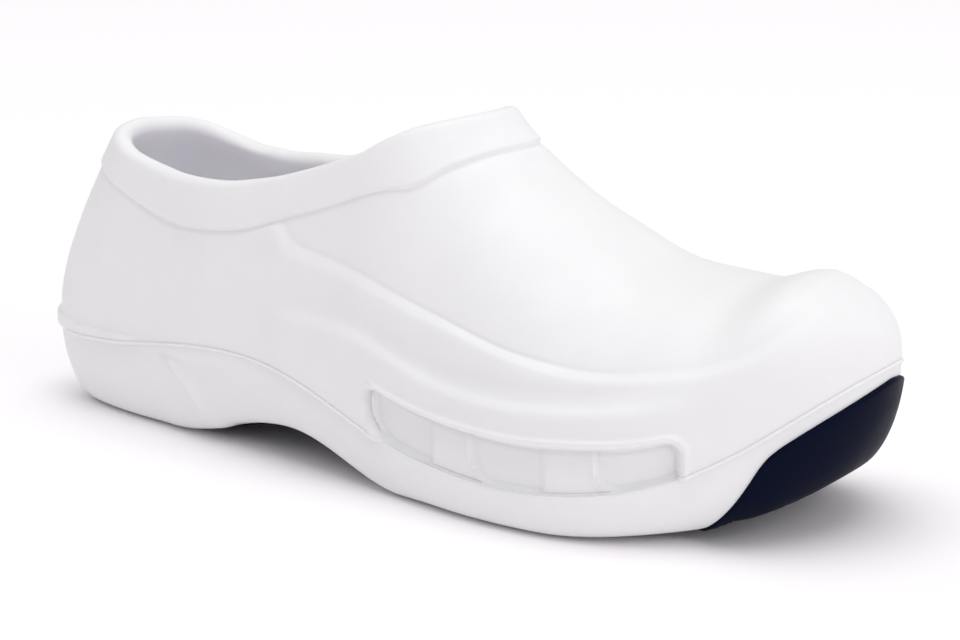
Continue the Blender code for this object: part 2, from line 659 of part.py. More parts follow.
def main():
    for old in list(bpy.data.objects):
        bpy.data.objects.remove(old)
    clog = bpy.data.collections.new("foam_clog")
    cutters = bpy.data.collections.new("cutters")
    bpy.context.scene.collection.children.link(clog)
    bpy.context.scene.collection.children.link(cutters)

    rings = {"upper": upper_rings(), "midsole": midsole_rings(),
             "outsole": outsole_rings(), "insole": insole_rings()}
    points = np.concatenate([ring for body in rings.values() for ring in body])
    centre = (points.min(0) + points.max(0)) / 2
    centre[2] = points[:, 2].min()

    foam = material("white foam", (0.86, 0.86, 0.88), 0.45)
    rubber = material("navy rubber", (0.008, 0.011, 0.020), 0.45)
    liner = material("foam liner", (0.80, 0.79, 0.84), 0.70)
    loft("upper", rings["upper"], True, foam, clog, centre)
    loft("midsole", rings["midsole"], False, foam, clog, centre)
    outsole = loft("outsole", rings["outsole"], False, rubber, clog, centre)
    loft("insole", rings["insole"], False, liner, clog, centre)

    columns = [column(GROOVES, name) for name in GROOVES["columns"]]
    for k, (along, turn, reach) in enumerate(zip(*columns)):
        groove_cutter(f"groove_{k}", along, turn, reach, cutters, centre)
    cut = outsole.modifiers.new("grooves", "BOOLEAN")
    cut.operation = "DIFFERENCE"
    cut.solver = "EXACT"
    cut.operand_type = "COLLECTION"
    cut.collection = cutters


main()
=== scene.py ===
"""Foam clog for the right foot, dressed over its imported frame.

Metres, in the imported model's frame: +X to the toe, +Y to the inner side of the foot, +Z up,
the floor at z = 0 and the origin under the middle of the shoe.
"""
import logging
from dataclasses import dataclass
from enum import Enum
from functools import cached_property
from math import pi, radians
from typing import Any, Callable

import bmesh
import bpy
import numpy as np
from mathutils import Matrix, Vector


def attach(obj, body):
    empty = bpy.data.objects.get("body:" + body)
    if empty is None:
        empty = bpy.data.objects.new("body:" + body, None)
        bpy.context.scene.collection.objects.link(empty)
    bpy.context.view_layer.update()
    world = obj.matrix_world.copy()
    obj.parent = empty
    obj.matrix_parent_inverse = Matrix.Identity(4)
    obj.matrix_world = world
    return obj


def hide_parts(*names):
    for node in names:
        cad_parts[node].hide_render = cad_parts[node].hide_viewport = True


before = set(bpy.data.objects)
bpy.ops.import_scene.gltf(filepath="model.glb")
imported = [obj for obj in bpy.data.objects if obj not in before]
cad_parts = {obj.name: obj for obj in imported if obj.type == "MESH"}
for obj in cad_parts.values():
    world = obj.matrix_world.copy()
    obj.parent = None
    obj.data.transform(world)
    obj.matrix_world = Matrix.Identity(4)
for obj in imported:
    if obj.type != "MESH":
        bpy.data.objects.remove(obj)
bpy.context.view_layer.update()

LOG = logging.getLogger("foam_clog")
MM = 0.001
Socket = bpy.types.NodeSocket


class Side(Enum):
    """The two halves of the shoe, as seen from the wearer."""

    OUTER = 0
    INNER = 1


@dataclass(frozen=True)
class Table:
    """Short table of named rows, read along the shoe by a smooth curve."""

    columns: tuple[str, ...]
    rows: dict[str, tuple[float, ...]]

    def column(self, name: str) -> np.ndarray:
        """One named column, from the first row to the last."""
        place = self.columns.index(name)
        return np.array([row[place] for row in self.rows.values()], float)

    def at(self, name: str, along: np.ndarray) -> np.ndarray:
        """Reads a column between its rows without swinging past a row.

        Args:
            name: Column to read.
            along: Places along the shoe, in the unit of the table's first column.

        Returns:
            The column's value at each place.
        """
        x, y = self.column(self.columns[0]), self.column(name)
        step = np.diff(y) / np.diff(x)
        slope = np.zeros(len(x))
        left, right = step[:-1], step[1:]
        same = left * right > 0
        slope[1:-1][same] = 2 * left[same] * right[same] / (left[same] + right[same])
        slope[0], slope[-1] = step[0], step[-1]
        s = np.clip(np.asarray(along, float), x[0], x[-1])
        i = np.clip(np.searchsorted(x, s, "right") - 1, 0, len(x) - 2)
        gap = x[i + 1] - x[i]
        t = (s - x[i]) / gap
        rise = 3 * t**2 - 2 * t**3
        bend = (t**3 - 2 * t**2 + t) * slope[i] + (t**3 - t**2) * slope[i + 1]
        return (1 - rise) * y[i] + rise * y[i + 1] + gap * bend


# Outline of the parting line from above, heel back first and outer side first.
OUTLINE = Table(("along", "across", "rise"), {
    "heel back": (0.000, 0.020, 0.550),
    "heel corner out": (0.035, -0.430, 0.514),
    "heel out": (0.120, -0.560, 0.514),
    "waist out": (0.250, -0.690, 0.628),
    "arch out": (0.400, -0.778, 0.612),
    "ball rear out": (0.540, -0.898, 0.347),
    "ball out": (0.660, -1.000, 0.242),
    "toes out": (0.780, -0.966, 0.277),
    "toe corner out": (0.890, -0.690, 0.500),
    "toe out": (0.965, -0.305, 0.838),
    "toe tip": (1.000, 0.160, 1.000),
    "toe in": (0.975, 0.580, 0.897),
    "toe corner in": (0.900, 0.850, 0.578),
    "toes in": (0.800, 0.970, 0.330),
    "ball in": (0.700, 1.000, 0.255),
    "ball rear in": (0.560, 0.880, 0.348),
    "arch in": (0.420, 0.720, 0.604),
    "waist in": (0.270, 0.650, 0.629),
    "heel in": (0.130, 0.590, 0.514),
    "heel corner in": (0.035, 0.450, 0.514),
})
# Top centre line and the shape of each cross-section, along the length.
RIDGE = Table(("along", "height", "bow", "swell"), {
    "heel": (0.00, 0.996, 2.30, 3.00),
    "heel middle": (0.11, 1.060, 2.40, 2.90),
    "heel front": (0.21, 1.110, 1.90, 1.80),
    "waist": (0.36, 0.975, 1.50, 1.70),
    "throat": (0.48, 0.975, 1.85, 1.58),
    "instep": (0.58, 0.754, 2.10, 1.60),
    "vamp": (0.68, 0.601, 2.12, 1.85),
    "ball": (0.78, 0.522, 2.15, 2.08),
    "toes": (0.86, 0.538, 2.22, 2.35),
    "toe box": (0.93, 0.614, 2.60, 2.35),
    "toe": (1.00, 0.600, 2.70, 2.25),
})
# Height of the collar's outer and inner sides, along the length.
COLLAR = Table(("along", "outer", "inner"), {
    "back": (0.02, 0.866, 0.866),
    "heel": (0.09, 0.840, 0.828),
    "heel front": (0.15, 0.780, 0.772),
    "dip rear": (0.24, 0.739, 0.728),
    "dip front": (0.30, 0.746, 0.738),
    "quarter": (0.36, 0.779, 0.764),
    "quarter front": (0.42, 0.832, 0.815),
    "throat side": (0.48, 0.896, 0.885),
    "throat front": (0.53, 0.956, 0.950),
    "throat": (0.57, 0.984, 0.984),
})
# Underside along the length: its rise, its tuck, how round its edge is, and the footbed.
SOLE = Table(("along", "rise", "tuck", "round", "bed"), {
    "heel back": (0.00, 0.09, 0.86, 1.22, 0.91),
    "heel": (0.06, 0.00, 0.68, 1.06, 0.91),
    "heel side": (0.14, 0.00, 0.50, 0.92, 0.92),
    "heel front": (0.21, 0.00, 0.60, 0.90, 0.93),
    "arch": (0.40, 0.52, 0.55, 0.86, 0.93),
    "ball rear": (0.56, 0.00, 0.42, 0.80, 0.44),
    "ball front": (0.73, 0.00, 0.44, 0.80, 0.42),
    "toes": (0.86, 0.16, 0.76, 0.92, 0.62),
    "toe box": (0.93, 0.56, 0.90, 1.00, 0.90),
    "toe": (1.00, 1.44, 1.00, 1.05, 1.34),
})
# Features up the wall from the parting line, along the half outline from heel to toe.
FEATURES = Table(("along", "window", "lower", "upper", "band"), {
    "heel": (0.00, 0.24, 0.46, 0.72, 0.19),
    "heel side": (0.14, 0.24, 0.46, 0.66, 0.20),
    "waist": (0.27, 0.20, 0.38, 0.62, 0.25),
    "waist front": (0.34, 0.18, 0.30, 0.66, 0.27),
    "notch": (0.42, 0.25, 0.46, 0.86, 0.27),
    "arch": (0.505, 0.292, 0.598, 0.980, 0.305),
    "quarter": (0.60, 0.294, 0.556, 1.000, 0.34),
    "vamp side": (0.70, 0.284, 0.536, 0.846, 0.31),
    "ball": (0.80, 0.232, 0.480, 0.660, 0.25),
    "toe corner": (0.888, 0.200, 0.390, 0.526, 0.23),
    "toe": (1.00, 0.200, 0.380, 0.600, 0.24),
})
# Edge of the rubber below the parting line, along the half outline, in tucks.
RUBBER_EDGE = Table(("along", "below"), {
    "bumper start": (0.820, 1.86),
    "bumper foot": (0.836, 1.54),
    "bumper rear": (0.848, 1.26),
    "bumper climb": (0.857, 1.00),
    "bumper rise": (0.864, 0.77),
    "bumper bend": (0.870, 0.59),
    "bumper shoulder": (0.878, 0.46),
    "bumper top": (0.890, 0.41),
    "toe out": (0.930, 0.385),
    "toe tip": (1.000, 0.27),
})
# Slanted line on the midsole's heel: its place along the half outline, down the side in millimetres.
HEEL_LINE = Table(("down", "along"), {
    "parting line": (0.0, 0.190),
    "start": (1.5, 0.217),
    "turn": (3.0, 0.232),
    "upper": (5.1, 0.247),
    "middle": (8.2, 0.258),
    "lower": (14.9, 0.276),
    "foot": (22.9, 0.292),
    "underside": (34.0, 0.308),
})
# How closely the stations stand, along the half outline.
DENSITY = Table(("along", "weight"), {
    "heel": (0.00, 0.7),
    "facet rear": (0.185, 0.9),
    "facet": (0.200, 2.0),
    "facet front": (0.295, 2.0),
    "waist": (0.320, 1.0),
    "window rear": (0.482, 1.3),
    "window start": (0.492, 3.4),
    "window corner": (0.508, 3.4),
    "window": (0.522, 1.5),
    "window front": (0.780, 1.5),
    "window toe": (0.792, 3.2),
    "window end": (0.812, 3.2),
    "bumper rear": (0.845, 2.4),
    "bumper shoulder": (0.885, 2.4),
    "bumper": (0.92, 1.1),
    "toe": (1.00, 1.0),
})


def ease(x: np.ndarray) -> np.ndarray:
    """Smooth step from 0 to 1."""
    t = np.clip(x, 0, 1)
    return t * t * (3 - 2 * t)


@dataclass(frozen=True)
class Span:
    """Stretch of the half outline along which a feature shows, with a soft start and end."""

    start: float
    rise: float
    end: float = 2.0
    fall: float = 1.0

    def at(self, w: np.ndarray) -> np.ndarray:
        """How much of the feature shows, 0 to 1."""
        return ease((w - self.start) / self.rise) * (1 - ease((w - self.end) / self.fall))


def bell(x: np.ndarray) -> np.ndarray:
    """Soft round bump, 1 at its middle and near 0 at a distance of 2."""
    return np.exp(-x * x)


def arc(points: np.ndarray) -> np.ndarray:
    """Distance along a line of points."""
    return np.concatenate([[0], np.cumsum(np.linalg.norm(np.diff(points, axis=0), axis=1))])


def unit(vectors: np.ndarray) -> np.ndarray:
    """The same directions at length 1."""
    return vectors / np.linalg.norm(vectors, axis=-1)[..., None]


def closed_spline(points: np.ndarray, count: int) -> np.ndarray:
    """Closed cubic spline through points.

    Args:
        points: The points, in order round the loop.
        count: How many places of the loop to return.

    Returns:
        Points on the loop, evenly spaced in its own measure.
    """
    step = np.linalg.norm(np.roll(points, -1, 0)[:, :2] - points[:, :2], axis=1)
    size = len(points)
    matrix, right = np.zeros((size, size)), np.zeros_like(points)
    for i in range(size):
        before, after = step[i - 1], step[i]
        follower = (i + 1) % size
        matrix[i, i - 1] += before
        matrix[i, i] += 2 * (before + after)
        matrix[i, follower] += after
        right[i] = 6 * ((points[follower] - points[i]) / after - (points[i] - points[i - 1]) / before)
    bend = np.linalg.solve(matrix, right)
    knots = np.concatenate([[0], np.cumsum(step)])
    t = np.linspace(0, knots[-1], count, endpoint=False)
    i = np.clip(np.searchsorted(knots, t, "right") - 1, 0, size - 1)
    j = (i + 1) % size
    a, b, h = (knots[i + 1] - t)[:, None], (t - knots[i])[:, None], step[i][:, None]
    curve = (bend[i] * a**3 + bend[j] * b**3) / (6 * h)
    return curve + (points[i] / h - bend[i] * h / 6) * a + (points[j] / h - bend[j] * h / 6) * b


def read_line(at: np.ndarray, places: np.ndarray, points: np.ndarray) -> np.ndarray:
    """Points or vectors read between the known places of a line."""
    return np.stack([np.interp(at, places, points[:, k]) for k in range(points.shape[1])], 1)


def sample(ribs: np.ndarray, distances: np.ndarray) -> np.ndarray:
    """Points at given distances along ribs.

    Args:
        ribs: One dense line of points for each station.
        distances: One row of distances for each station.

    Returns:
        A grid of points, stations by distances.
    """
    steps = np.linalg.norm(np.diff(ribs, axis=1), axis=2)
    run = np.concatenate([np.zeros((len(ribs), 1)), np.cumsum(steps, 1)], 1)
    points = np.empty(distances.shape + (3,))
    for i, rib in enumerate(ribs):
        points[i] = read_line(distances[i], run[i], rib)
    return points


def rib_length(ribs: np.ndarray) -> np.ndarray:
    """Length of each rib."""
    return np.linalg.norm(np.diff(ribs, axis=1), axis=2).sum(1)


def loop_normals(grid: np.ndarray) -> np.ndarray:
    """Outward normals of a grid of stations round the shoe and levels up it."""
    return unit(np.cross(np.roll(grid, -1, 0) - np.roll(grid, 1, 0), np.gradient(grid, axis=1)))


def graded(anchors: list[np.ndarray], counts: list[int]) -> np.ndarray:
    """Levels that run evenly from each anchor to the next.

    Args:
        anchors: Distances up the wall, one array over the stations for each anchor.
        counts: How many steps lie between each pair of anchors.

    Returns:
        Stations by levels, rising by at least a tenth of a millimetre.
    """
    least = 0.25 * MM * np.array(counts)
    rows = np.stack(anchors, 1)
    for k in range(1, rows.shape[1] - 1):
        rows[:, k] = np.maximum(rows[:, k], rows[:, k - 1] + least[k - 1])
    for k in range(rows.shape[1] - 2, 0, -1):
        rows[:, k] = np.minimum(rows[:, k], rows[:, k + 1] - least[k])
    parts = [rows[:, [k]] + (rows[:, [k + 1]] - rows[:, [k]]) * np.arange(n) / n
             for k, n in enumerate(counts)]
    return np.concatenate(parts + [rows[:, [-1]]], 1)


@dataclass(frozen=True)
class ClogForm:
    """The clog's outer form, which every piece takes its shape from."""

    length: float = 0.292
    ball_width: float = 0.108
    seam_rise: float = 0.0470
    ridge_top: float = 0.135
    collar_top: float = 0.108
    toe_spring: float = 0.0190
    tuck: float = 0.0135
    edge_lift: float = 0.0008
    tread_drop: float = 0.0016
    wall: float = 0.0045
    feature_reach: float = 0.050
    heel_close: float = 0.335
    heel_bow: float = 2.08
    heel_swell: float = 1.26
    toe_close: float = 0.30
    axis_bend: float = 0.45
    path_lead: float = 0.30
    path_rise: float = 0.70
    collar_lag: float = 0.10
    spine_start: float = 0.10
    spine_end: float = 0.89
    half_stations: int = 270
    # the row's origin, in the form's own measure
    origin: tuple[float, float, float] = (0.146088, -0.000060, -0.001621)

    @cached_property
    def halves(self) -> list[np.ndarray]:
        """Parting line from heel to toe, on the outer and on the inner side."""
        points = np.stack([OUTLINE.column("along") * self.length,
                           OUTLINE.column("across") * self.ball_width / 2,
                           OUTLINE.column("rise") * self.seam_rise], 1)
        line = closed_spline(points, 6000)
        line = np.roll(line, -int(np.argmin(line[:, 0])), 0)
        toe = int(np.argmax(line[:, 0]))
        return [line[:toe + 1], np.vstack([line[toe:], line[:1]])[::-1]]

    @cached_property
    def half_length(self) -> float:
        """Length of the outer half of the parting line."""
        return float(arc(self.halves[0])[-1])

    def share(self, x: np.ndarray) -> np.ndarray:
        """Place along the length, 0 at the heel and 1 at the toe."""
        line = self.halves[0]
        return np.clip((x - line[0, 0]) / (line[-1, 0] - line[0, 0]), 0, 1)

    def axis(self, x: np.ndarray) -> np.ndarray:
        """Middle line of the foot, seen from above."""
        line, s = self.halves[0], self.share(x)
        bent = (1 - self.axis_bend) * s + self.axis_bend * s * s
        return line[0, 1] + (line[-1, 1] - line[0, 1]) * bent

    def height(self, x: np.ndarray, y: np.ndarray) -> np.ndarray:
        """Height of the upper's outer form above a point of the plan."""
        s, middle = self.share(x), self.axis(x)
        side_y = [np.interp(x, line[:, 0], line[:, 1]) for line in self.halves]
        side_z = [np.interp(x, line[:, 0], line[:, 2]) for line in self.halves]
        edge = np.where(y < middle, side_y[0] - middle, side_y[1] - middle)
        n = np.clip((y - middle) / np.where(np.abs(edge) > 1e-9, edge, 1), 0, 1)
        signed = np.where(y < middle, -n, n)
        seam = side_z[0] + (side_z[1] - side_z[0]) * (signed + 1) / 2
        bow, swell = RIDGE.at("bow", s), RIDGE.at("swell", s)
        top = RIDGE.at("height", s) * self.ridge_top
        ahead = np.clip((s - 1 + self.toe_close) / self.toe_close, 0, 1)
        behind = np.clip((self.heel_close - s) / self.heel_close, 0, 1)
        closing = (1 - ahead**bow)**(1 / swell) * (1 - behind**self.heel_bow)**(1 / self.heel_swell)
        return seam + (top - seam) * closing * (1 - n**bow)**(1 / swell)

    @cached_property
    def collars(self) -> list[np.ndarray]:
        """Line where the form reaches the collar's height, back to front on both sides."""
        s = np.linspace(0, 0.62, 6001)
        line = self.halves[0]
        x = line[0, 0] + s * (line[-1, 0] - line[0, 0])
        rim = COLLAR.at("outer", s) * self.collar_top
        inside = np.where(self.height(x, self.axis(x)) > rim)[0]
        back, front = x[inside[0]], x[inside[-1]]
        x = back + (front - back) * (1 - np.cos(np.linspace(0, pi, 400))) / 2
        found = []
        for line, name in zip(self.halves, ("outer", "inner")):
            rim = COLLAR.at(name, self.share(x)) * self.collar_top
            reach = np.interp(x, line[:, 0], line[:, 1]) - self.axis(x)
            low, high = np.zeros(len(x)), np.ones(len(x))
            for _ in range(36):
                n = (low + high) / 2
                over = self.height(x, self.axis(x) + reach * n) > rim
                low, high = np.where(over, n, low), np.where(over, high, n)
            found.append(np.stack([x, self.axis(x) + reach * low, rim], 1))
        return found

    def foot_line(self, w: np.ndarray, side: Side) -> tuple[np.ndarray, np.ndarray]:
        """Points of the parting line, and the way inward there.

        Args:
            w: Shares of the half outline, 0 at the heel and 1 at the toe.
            side: Which half of the shoe.

        Returns:
            The points, and level unit vectors that point into the shoe.
        """
        line = self.halves[side.value]
        place = arc(line[:, :2])
        place = place / place[-1]
        foot = read_line(w, place, line)
        run = np.gradient(line[:, :2], axis=0)
        turned = unit(np.stack([-run[:, 1], run[:, 0]], 1) * (1, -1)[side.value])
        inward = read_line(w, place, turned)
        inward[w <= 0] = (1, 0)
        inward[w >= 1] = (-1, 0)
        return foot, unit(inward)

    def wall_ribs(self, w: np.ndarray, side: Side) -> np.ndarray:
        """Dense lines up the outer form, from the parting line to the collar."""
        foot, _ = self.foot_line(w, side)
        collar = self.collars[side.value]
        place = arc(collar)
        reached = (w + self.collar_lag * np.sin(pi * w)) * place[-1]
        rim = read_line(reached, place, collar)
        lead = foot[:, :2] + (rim[:, :2] - foot[:, :2]) * np.array([self.path_lead, self.path_rise])
        t = (np.linspace(0, 1, 240)**2.2)[None, :, None]
        plan = foot[:, None, :2] * (1 - t)**2 + 2 * lead[:, None] * t * (1 - t) + rim[:, None, :2] * t**2
        z = self.height(plan[..., 0], plan[..., 1])
        z[:, 0], z[:, -1] = foot[:, 2], rim[:, 2]
        return np.concatenate([plan, z[..., None]], 2)

    def ground(self, x: np.ndarray) -> np.ndarray:
        """Height of the tread above the floor: arch and toe spring."""
        return SOLE.at("rise", self.share(x)) * self.toe_spring - self.tread_drop

    def sole_ribs(self, w: np.ndarray, side: Side) -> tuple[np.ndarray, int]:
        """Dense lines down the sole's side and in along the underside.

        Args:
            w: Shares of the half outline.
            side: Which half of the shoe.

        Returns:
            The lines, and the index in them where the underside begins.
        """
        dense = 90
        foot, inward = self.foot_line(w, side)
        s = self.share(foot[:, 0])
        tuck = (SOLE.at("tuck", s) * self.tuck)[:, None]
        bend = SOLE.at("round", s)[:, None]
        edge = foot[:, :2] + inward * tuck
        base = self.ground(edge[:, 0]) + self.edge_lift
        turn = np.linspace(0, pi / 2, dense)[None]
        in_by = tuck * (1 - np.cos(turn)**bend)
        z = foot[:, 2:3] + (base - foot[:, 2])[:, None] * np.sin(turn)**bend
        xy = foot[:, None, :2] + inward[:, None] * in_by[..., None]
        flank = np.concatenate([xy, z[..., None]], 2)
        spine_x = self.length * self.spine_start + (self.spine_end - self.spine_start) * foot[:, 0]
        spine = np.stack([spine_x, self.axis(spine_x)], 1)
        t = np.linspace(0, 1, dense)[1:][None, :, None]
        xy = edge[:, None] + (spine - edge)[:, None] * t
        under = np.concatenate([xy, (self.ground(xy[..., 0]) + self.edge_lift)[..., None]], 2)
        return np.concatenate([flank, under], 1), dense - 1

    @cached_property
    def stations(self) -> np.ndarray:
        """Shares of the half outline, closer together where the wall has detail."""
        w = np.linspace(0, 1, 4001)
        weight = DENSITY.at("weight", w)
        total = np.concatenate([[0], np.cumsum((weight[1:] + weight[:-1]) / 2)])
        return np.interp(np.linspace(0, total[-1], self.half_stations + 1), total, w)

    @cached_property
    def round_w(self) -> np.ndarray:
        """Share of each station once round the shoe, outer side first."""
        return np.concatenate([self.stations, self.stations[-2:0:-1]])

    def round_shoe(self, make: Callable[[np.ndarray, Side], np.ndarray]) -> np.ndarray:
        """Stations once round: outer side heel to toe, then inner side toe to heel."""
        outer, inner = (make(self.stations, side) for side in Side)
        return np.concatenate([outer, inner[-2:0:-1]])

    @cached_property
    def feet(self) -> np.ndarray:
        """The parting line once round the shoe."""
        return self.round_shoe(lambda w, side: self.foot_line(w, side)[0])

    @cached_property
    def inward(self) -> np.ndarray:
        """Level unit vectors into the shoe, once round it."""
        flat = self.round_shoe(lambda w, side: self.foot_line(w, side)[1])
        return np.concatenate([flat, np.zeros((len(flat), 1))], 1)


def feed(tree: bpy.types.NodeTree, node: bpy.types.Node, inputs: dict[Any, Any]) -> None:
    """Gives a node's sockets their values, or links them to the outputs that feed them."""
    for key, value in inputs.items():
        if isinstance(value, bpy.types.NodeSocket):
            tree.links.new(value, node.inputs[key])
        else:
            node.inputs[key].default_value = value


def add_node(tree: bpy.types.NodeTree, kind: str, inputs: dict[Any, Any] | None = None,
             **settings: Any) -> bpy.types.Node:
    """Adds one node with its settings and links.

    Args:
        tree: Tree that gets the node.
        kind: The node's type.
        inputs: Socket name or number, with the value or the output that feeds it.
        **settings: The node's own properties.

    Returns:
        The new node.
    """
    node = tree.nodes.new(kind)
    for name, value in settings.items():
        setattr(node, name, value)
    feed(tree, node, inputs or {})
    return node


def noise(tree: bpy.types.NodeTree, place: Socket, size: float, **more: float) -> Socket:
    """Noise with features of a given size, as a number about one half."""
    inputs = {"Vector": place, "Scale": 1 / size} | {key.title(): value for key, value in more.items()}
    return add_node(tree, "ShaderNodeTexNoise", inputs).outputs["Fac"]


def blend(tree: bpy.types.NodeTree, factor: Socket, low: Any, high: Any) -> Socket:
    """Mix of two colours: the first at 0, the second at 1."""
    mixed = add_node(tree, "ShaderNodeMix", {"Factor": factor, 6: low, 7: high}, data_type="RGBA")
    return mixed.outputs[2]


def spread(tree: bpy.types.NodeTree, value: Socket, known: tuple[float, float],
           wanted: tuple[float, float]) -> Socket:
    """Number brought from one range to another, and kept within it."""
    inputs = {"Value": value, "From Min": known[0], "From Max": known[1], "To Min": wanted[0],
              "To Max": wanted[1]}
    return add_node(tree, "ShaderNodeMapRange", inputs).outputs["Result"]


def bump(tree: bpy.types.NodeTree, height: Socket, strength: float, deep: float,
         **under: Socket) -> Socket:
    """Normal that a height gives, over the one under it if there is one."""
    inputs = {"Height": height, "Strength": strength, "Distance": deep} | under
    return add_node(tree, "ShaderNodeBump", inputs).outputs["Normal"]


def show(name: str, data: bpy.types.ID) -> bpy.types.Object:
    """Puts a mesh, a light or a camera into the scene, at the origin."""
    made = bpy.data.objects.new(name, data)
    bpy.context.scene.collection.objects.link(made)
    return made


def blank_surface(name: str) -> tuple[bpy.types.Material, bpy.types.NodeTree, bpy.types.Node]:
    """New material, with its node tree and its main shader."""
    made = bpy.data.materials.new(name)
    made.use_nodes = True
    return made, made.node_tree, made.node_tree.nodes["Principled BSDF"]


def linear(code: str) -> tuple[float, float, float, float]:
    """Turns an sRGB hex colour, such as "#F2F1F4", to linear light with alpha 1."""
    parts = [int(code[k:k + 2], 16) / 255 for k in (1, 3, 5)]
    return (*(p / 12.92 if p <= 0.04045 else ((p + 0.055) / 1.055)**2.4 for p in parts), 1.0)


@dataclass(frozen=True)
class MouldedFoam:
    """Injection-moulded EVA foam with a closed skin: satin, near white, a faint pebble."""

    name: str = "eva_foam_injection_moulded"
    light: str = "#F0F0F1"
    dark: str = "#EBEBEC"
    # painted light: the inside of the shoe is the same white foam, painted lighter and bluish to stand
    # in for the light in it
    painted_inside_light: str = "#FDFCFF"
    # mottling of the skin, sink marks behind thick walls, and the skin's closed cells
    mottle: float = 14 * MM
    sink: float = 22 * MM
    cell: float = 1.1 * MM

    def build(self) -> bpy.types.Material:
        """Makes the material.

        Returns:
            A material that reads the attribute "inside" for its painted inside light: the same foam,
            painted lighter and bluish inside the shoe.
        """
        made, tree, shader = blank_surface(self.name)
        place = add_node(tree, "ShaderNodeTexCoord").outputs["Object"]
        mottle = noise(tree, place, self.mottle, detail=3.0)
        tone = blend(tree, mottle, linear(self.light), linear(self.dark))
        inside = add_node(tree, "ShaderNodeAttribute", attribute_name="inside").outputs["Fac"]
        wide = bump(tree, noise(tree, place, self.sink, detail=1.0), 0.5, 0.6 * MM)
        cells = add_node(tree, "ShaderNodeTexVoronoi", {"Vector": place, "Scale": 1 / self.cell},
                         feature="SMOOTH_F1")
        feed(tree, shader, {
            # painted light: where "inside" is 1 the foam takes the lighter, bluish inside colour
            "Base Color": blend(tree, inside, tone, linear(self.painted_inside_light)),
            "Roughness": spread(tree, mottle, (0.3, 0.7), (0.40, 0.50)),
            "Normal": bump(tree, cells.outputs["Distance"], 0.25, 0.05 * MM, Normal=wide),
            "IOR": 1.48,
            "Specular IOR Level": 0.45,
            "Subsurface Weight": 0.18,
            "Subsurface Radius": (1.0, 0.95, 0.92),
            "Subsurface Scale": 2.5 * MM,
        })
        return made


@dataclass(frozen=True)
class MouldedRubber:
    """Compression-moulded nitrile rubber, navy: matt, with a soft wide highlight and fine dust."""

    name: str = "nitrile_rubber_compression_moulded"
    base: str = "#03081D"
    worn: str = "#070E26"
    dust: str = "#7C818C"
    grain: float = 0.9 * MM
    patch: float = 9 * MM
    speck: float = 1.3 * MM

    def build(self) -> bpy.types.Material:
        """Makes the material, with its grain and dust in Object coordinates."""
        made, tree, shader = blank_surface(self.name)
        place = add_node(tree, "ShaderNodeTexCoord").outputs["Object"]
        patch = noise(tree, place, self.patch, detail=5.0, roughness=0.6)
        rubbed = blend(tree, patch, linear(self.base), linear(self.worn))
        specks = noise(tree, place, self.speck, detail=2.0, roughness=0.7)
        few = spread(tree, specks, (0.74, 0.84), (0.0, 0.30))
        feed(tree, shader, {
            "Base Color": blend(tree, few, rubbed, linear(self.dust)),
            "Roughness": spread(tree, patch, (0.3, 0.7), (0.40, 0.52)),
            "Normal": bump(tree, noise(tree, place, self.grain, detail=3.0), 0.35, 0.06 * MM),
            "IOR": 1.52,
            "Specular IOR Level": 0.04,
        })
        return made


@dataclass(frozen=True)
class KnittedLiner:
    """Polyester knit bonded to foam, pale lavender: matt, with rows of small loops, painted darker in
    the hollows between them.
    """

    name: str = "polyester_knit_on_foam"
    # painted shade: the knit is one colour; the darker colour is painted into the hollows between the
    # loops, the lighter on their tops
    light: str = "#DEDDE8"
    dark: str = "#C6C5D4"
    # loops of 1.2 mm, drawn about twice as coarse as the real knit so that they show
    loop: float = 2.4 * MM
    # scale of a wave texture whose bands lie one unit apart
    one_band: float = 0.314

    def build(self) -> bpy.types.Material:
        """Makes the material, with its loops in Object coordinates."""
        made, tree, shader = blank_surface(self.name)
        place = add_node(tree, "ShaderNodeTexCoord").outputs["Object"]
        rows, wales = (
            add_node(tree, "ShaderNodeTexWave",
                     {"Vector": place, "Scale": self.one_band / self.loop, "Distortion": 0.6,
                      "Detail Scale": 2.0}, bands_direction=direction) for direction in "XY")
        loops = add_node(tree, "ShaderNodeMath", {0: rows.outputs["Fac"], 1: wales.outputs["Fac"]},
                         operation="MULTIPLY")
        height = loops.outputs["Value"]
        feed(tree, shader, {
            # painted shade: the colour follows the loops' height, darker in the hollows
            "Base Color": blend(tree, height, linear(self.dark), linear(self.light)),
            "Normal": bump(tree, height, 0.6, 0.25 * MM),
            "Roughness": 0.85,
            "Sheen Weight": 0.25,
            "Sheen Roughness": 0.5,
        })
        return made


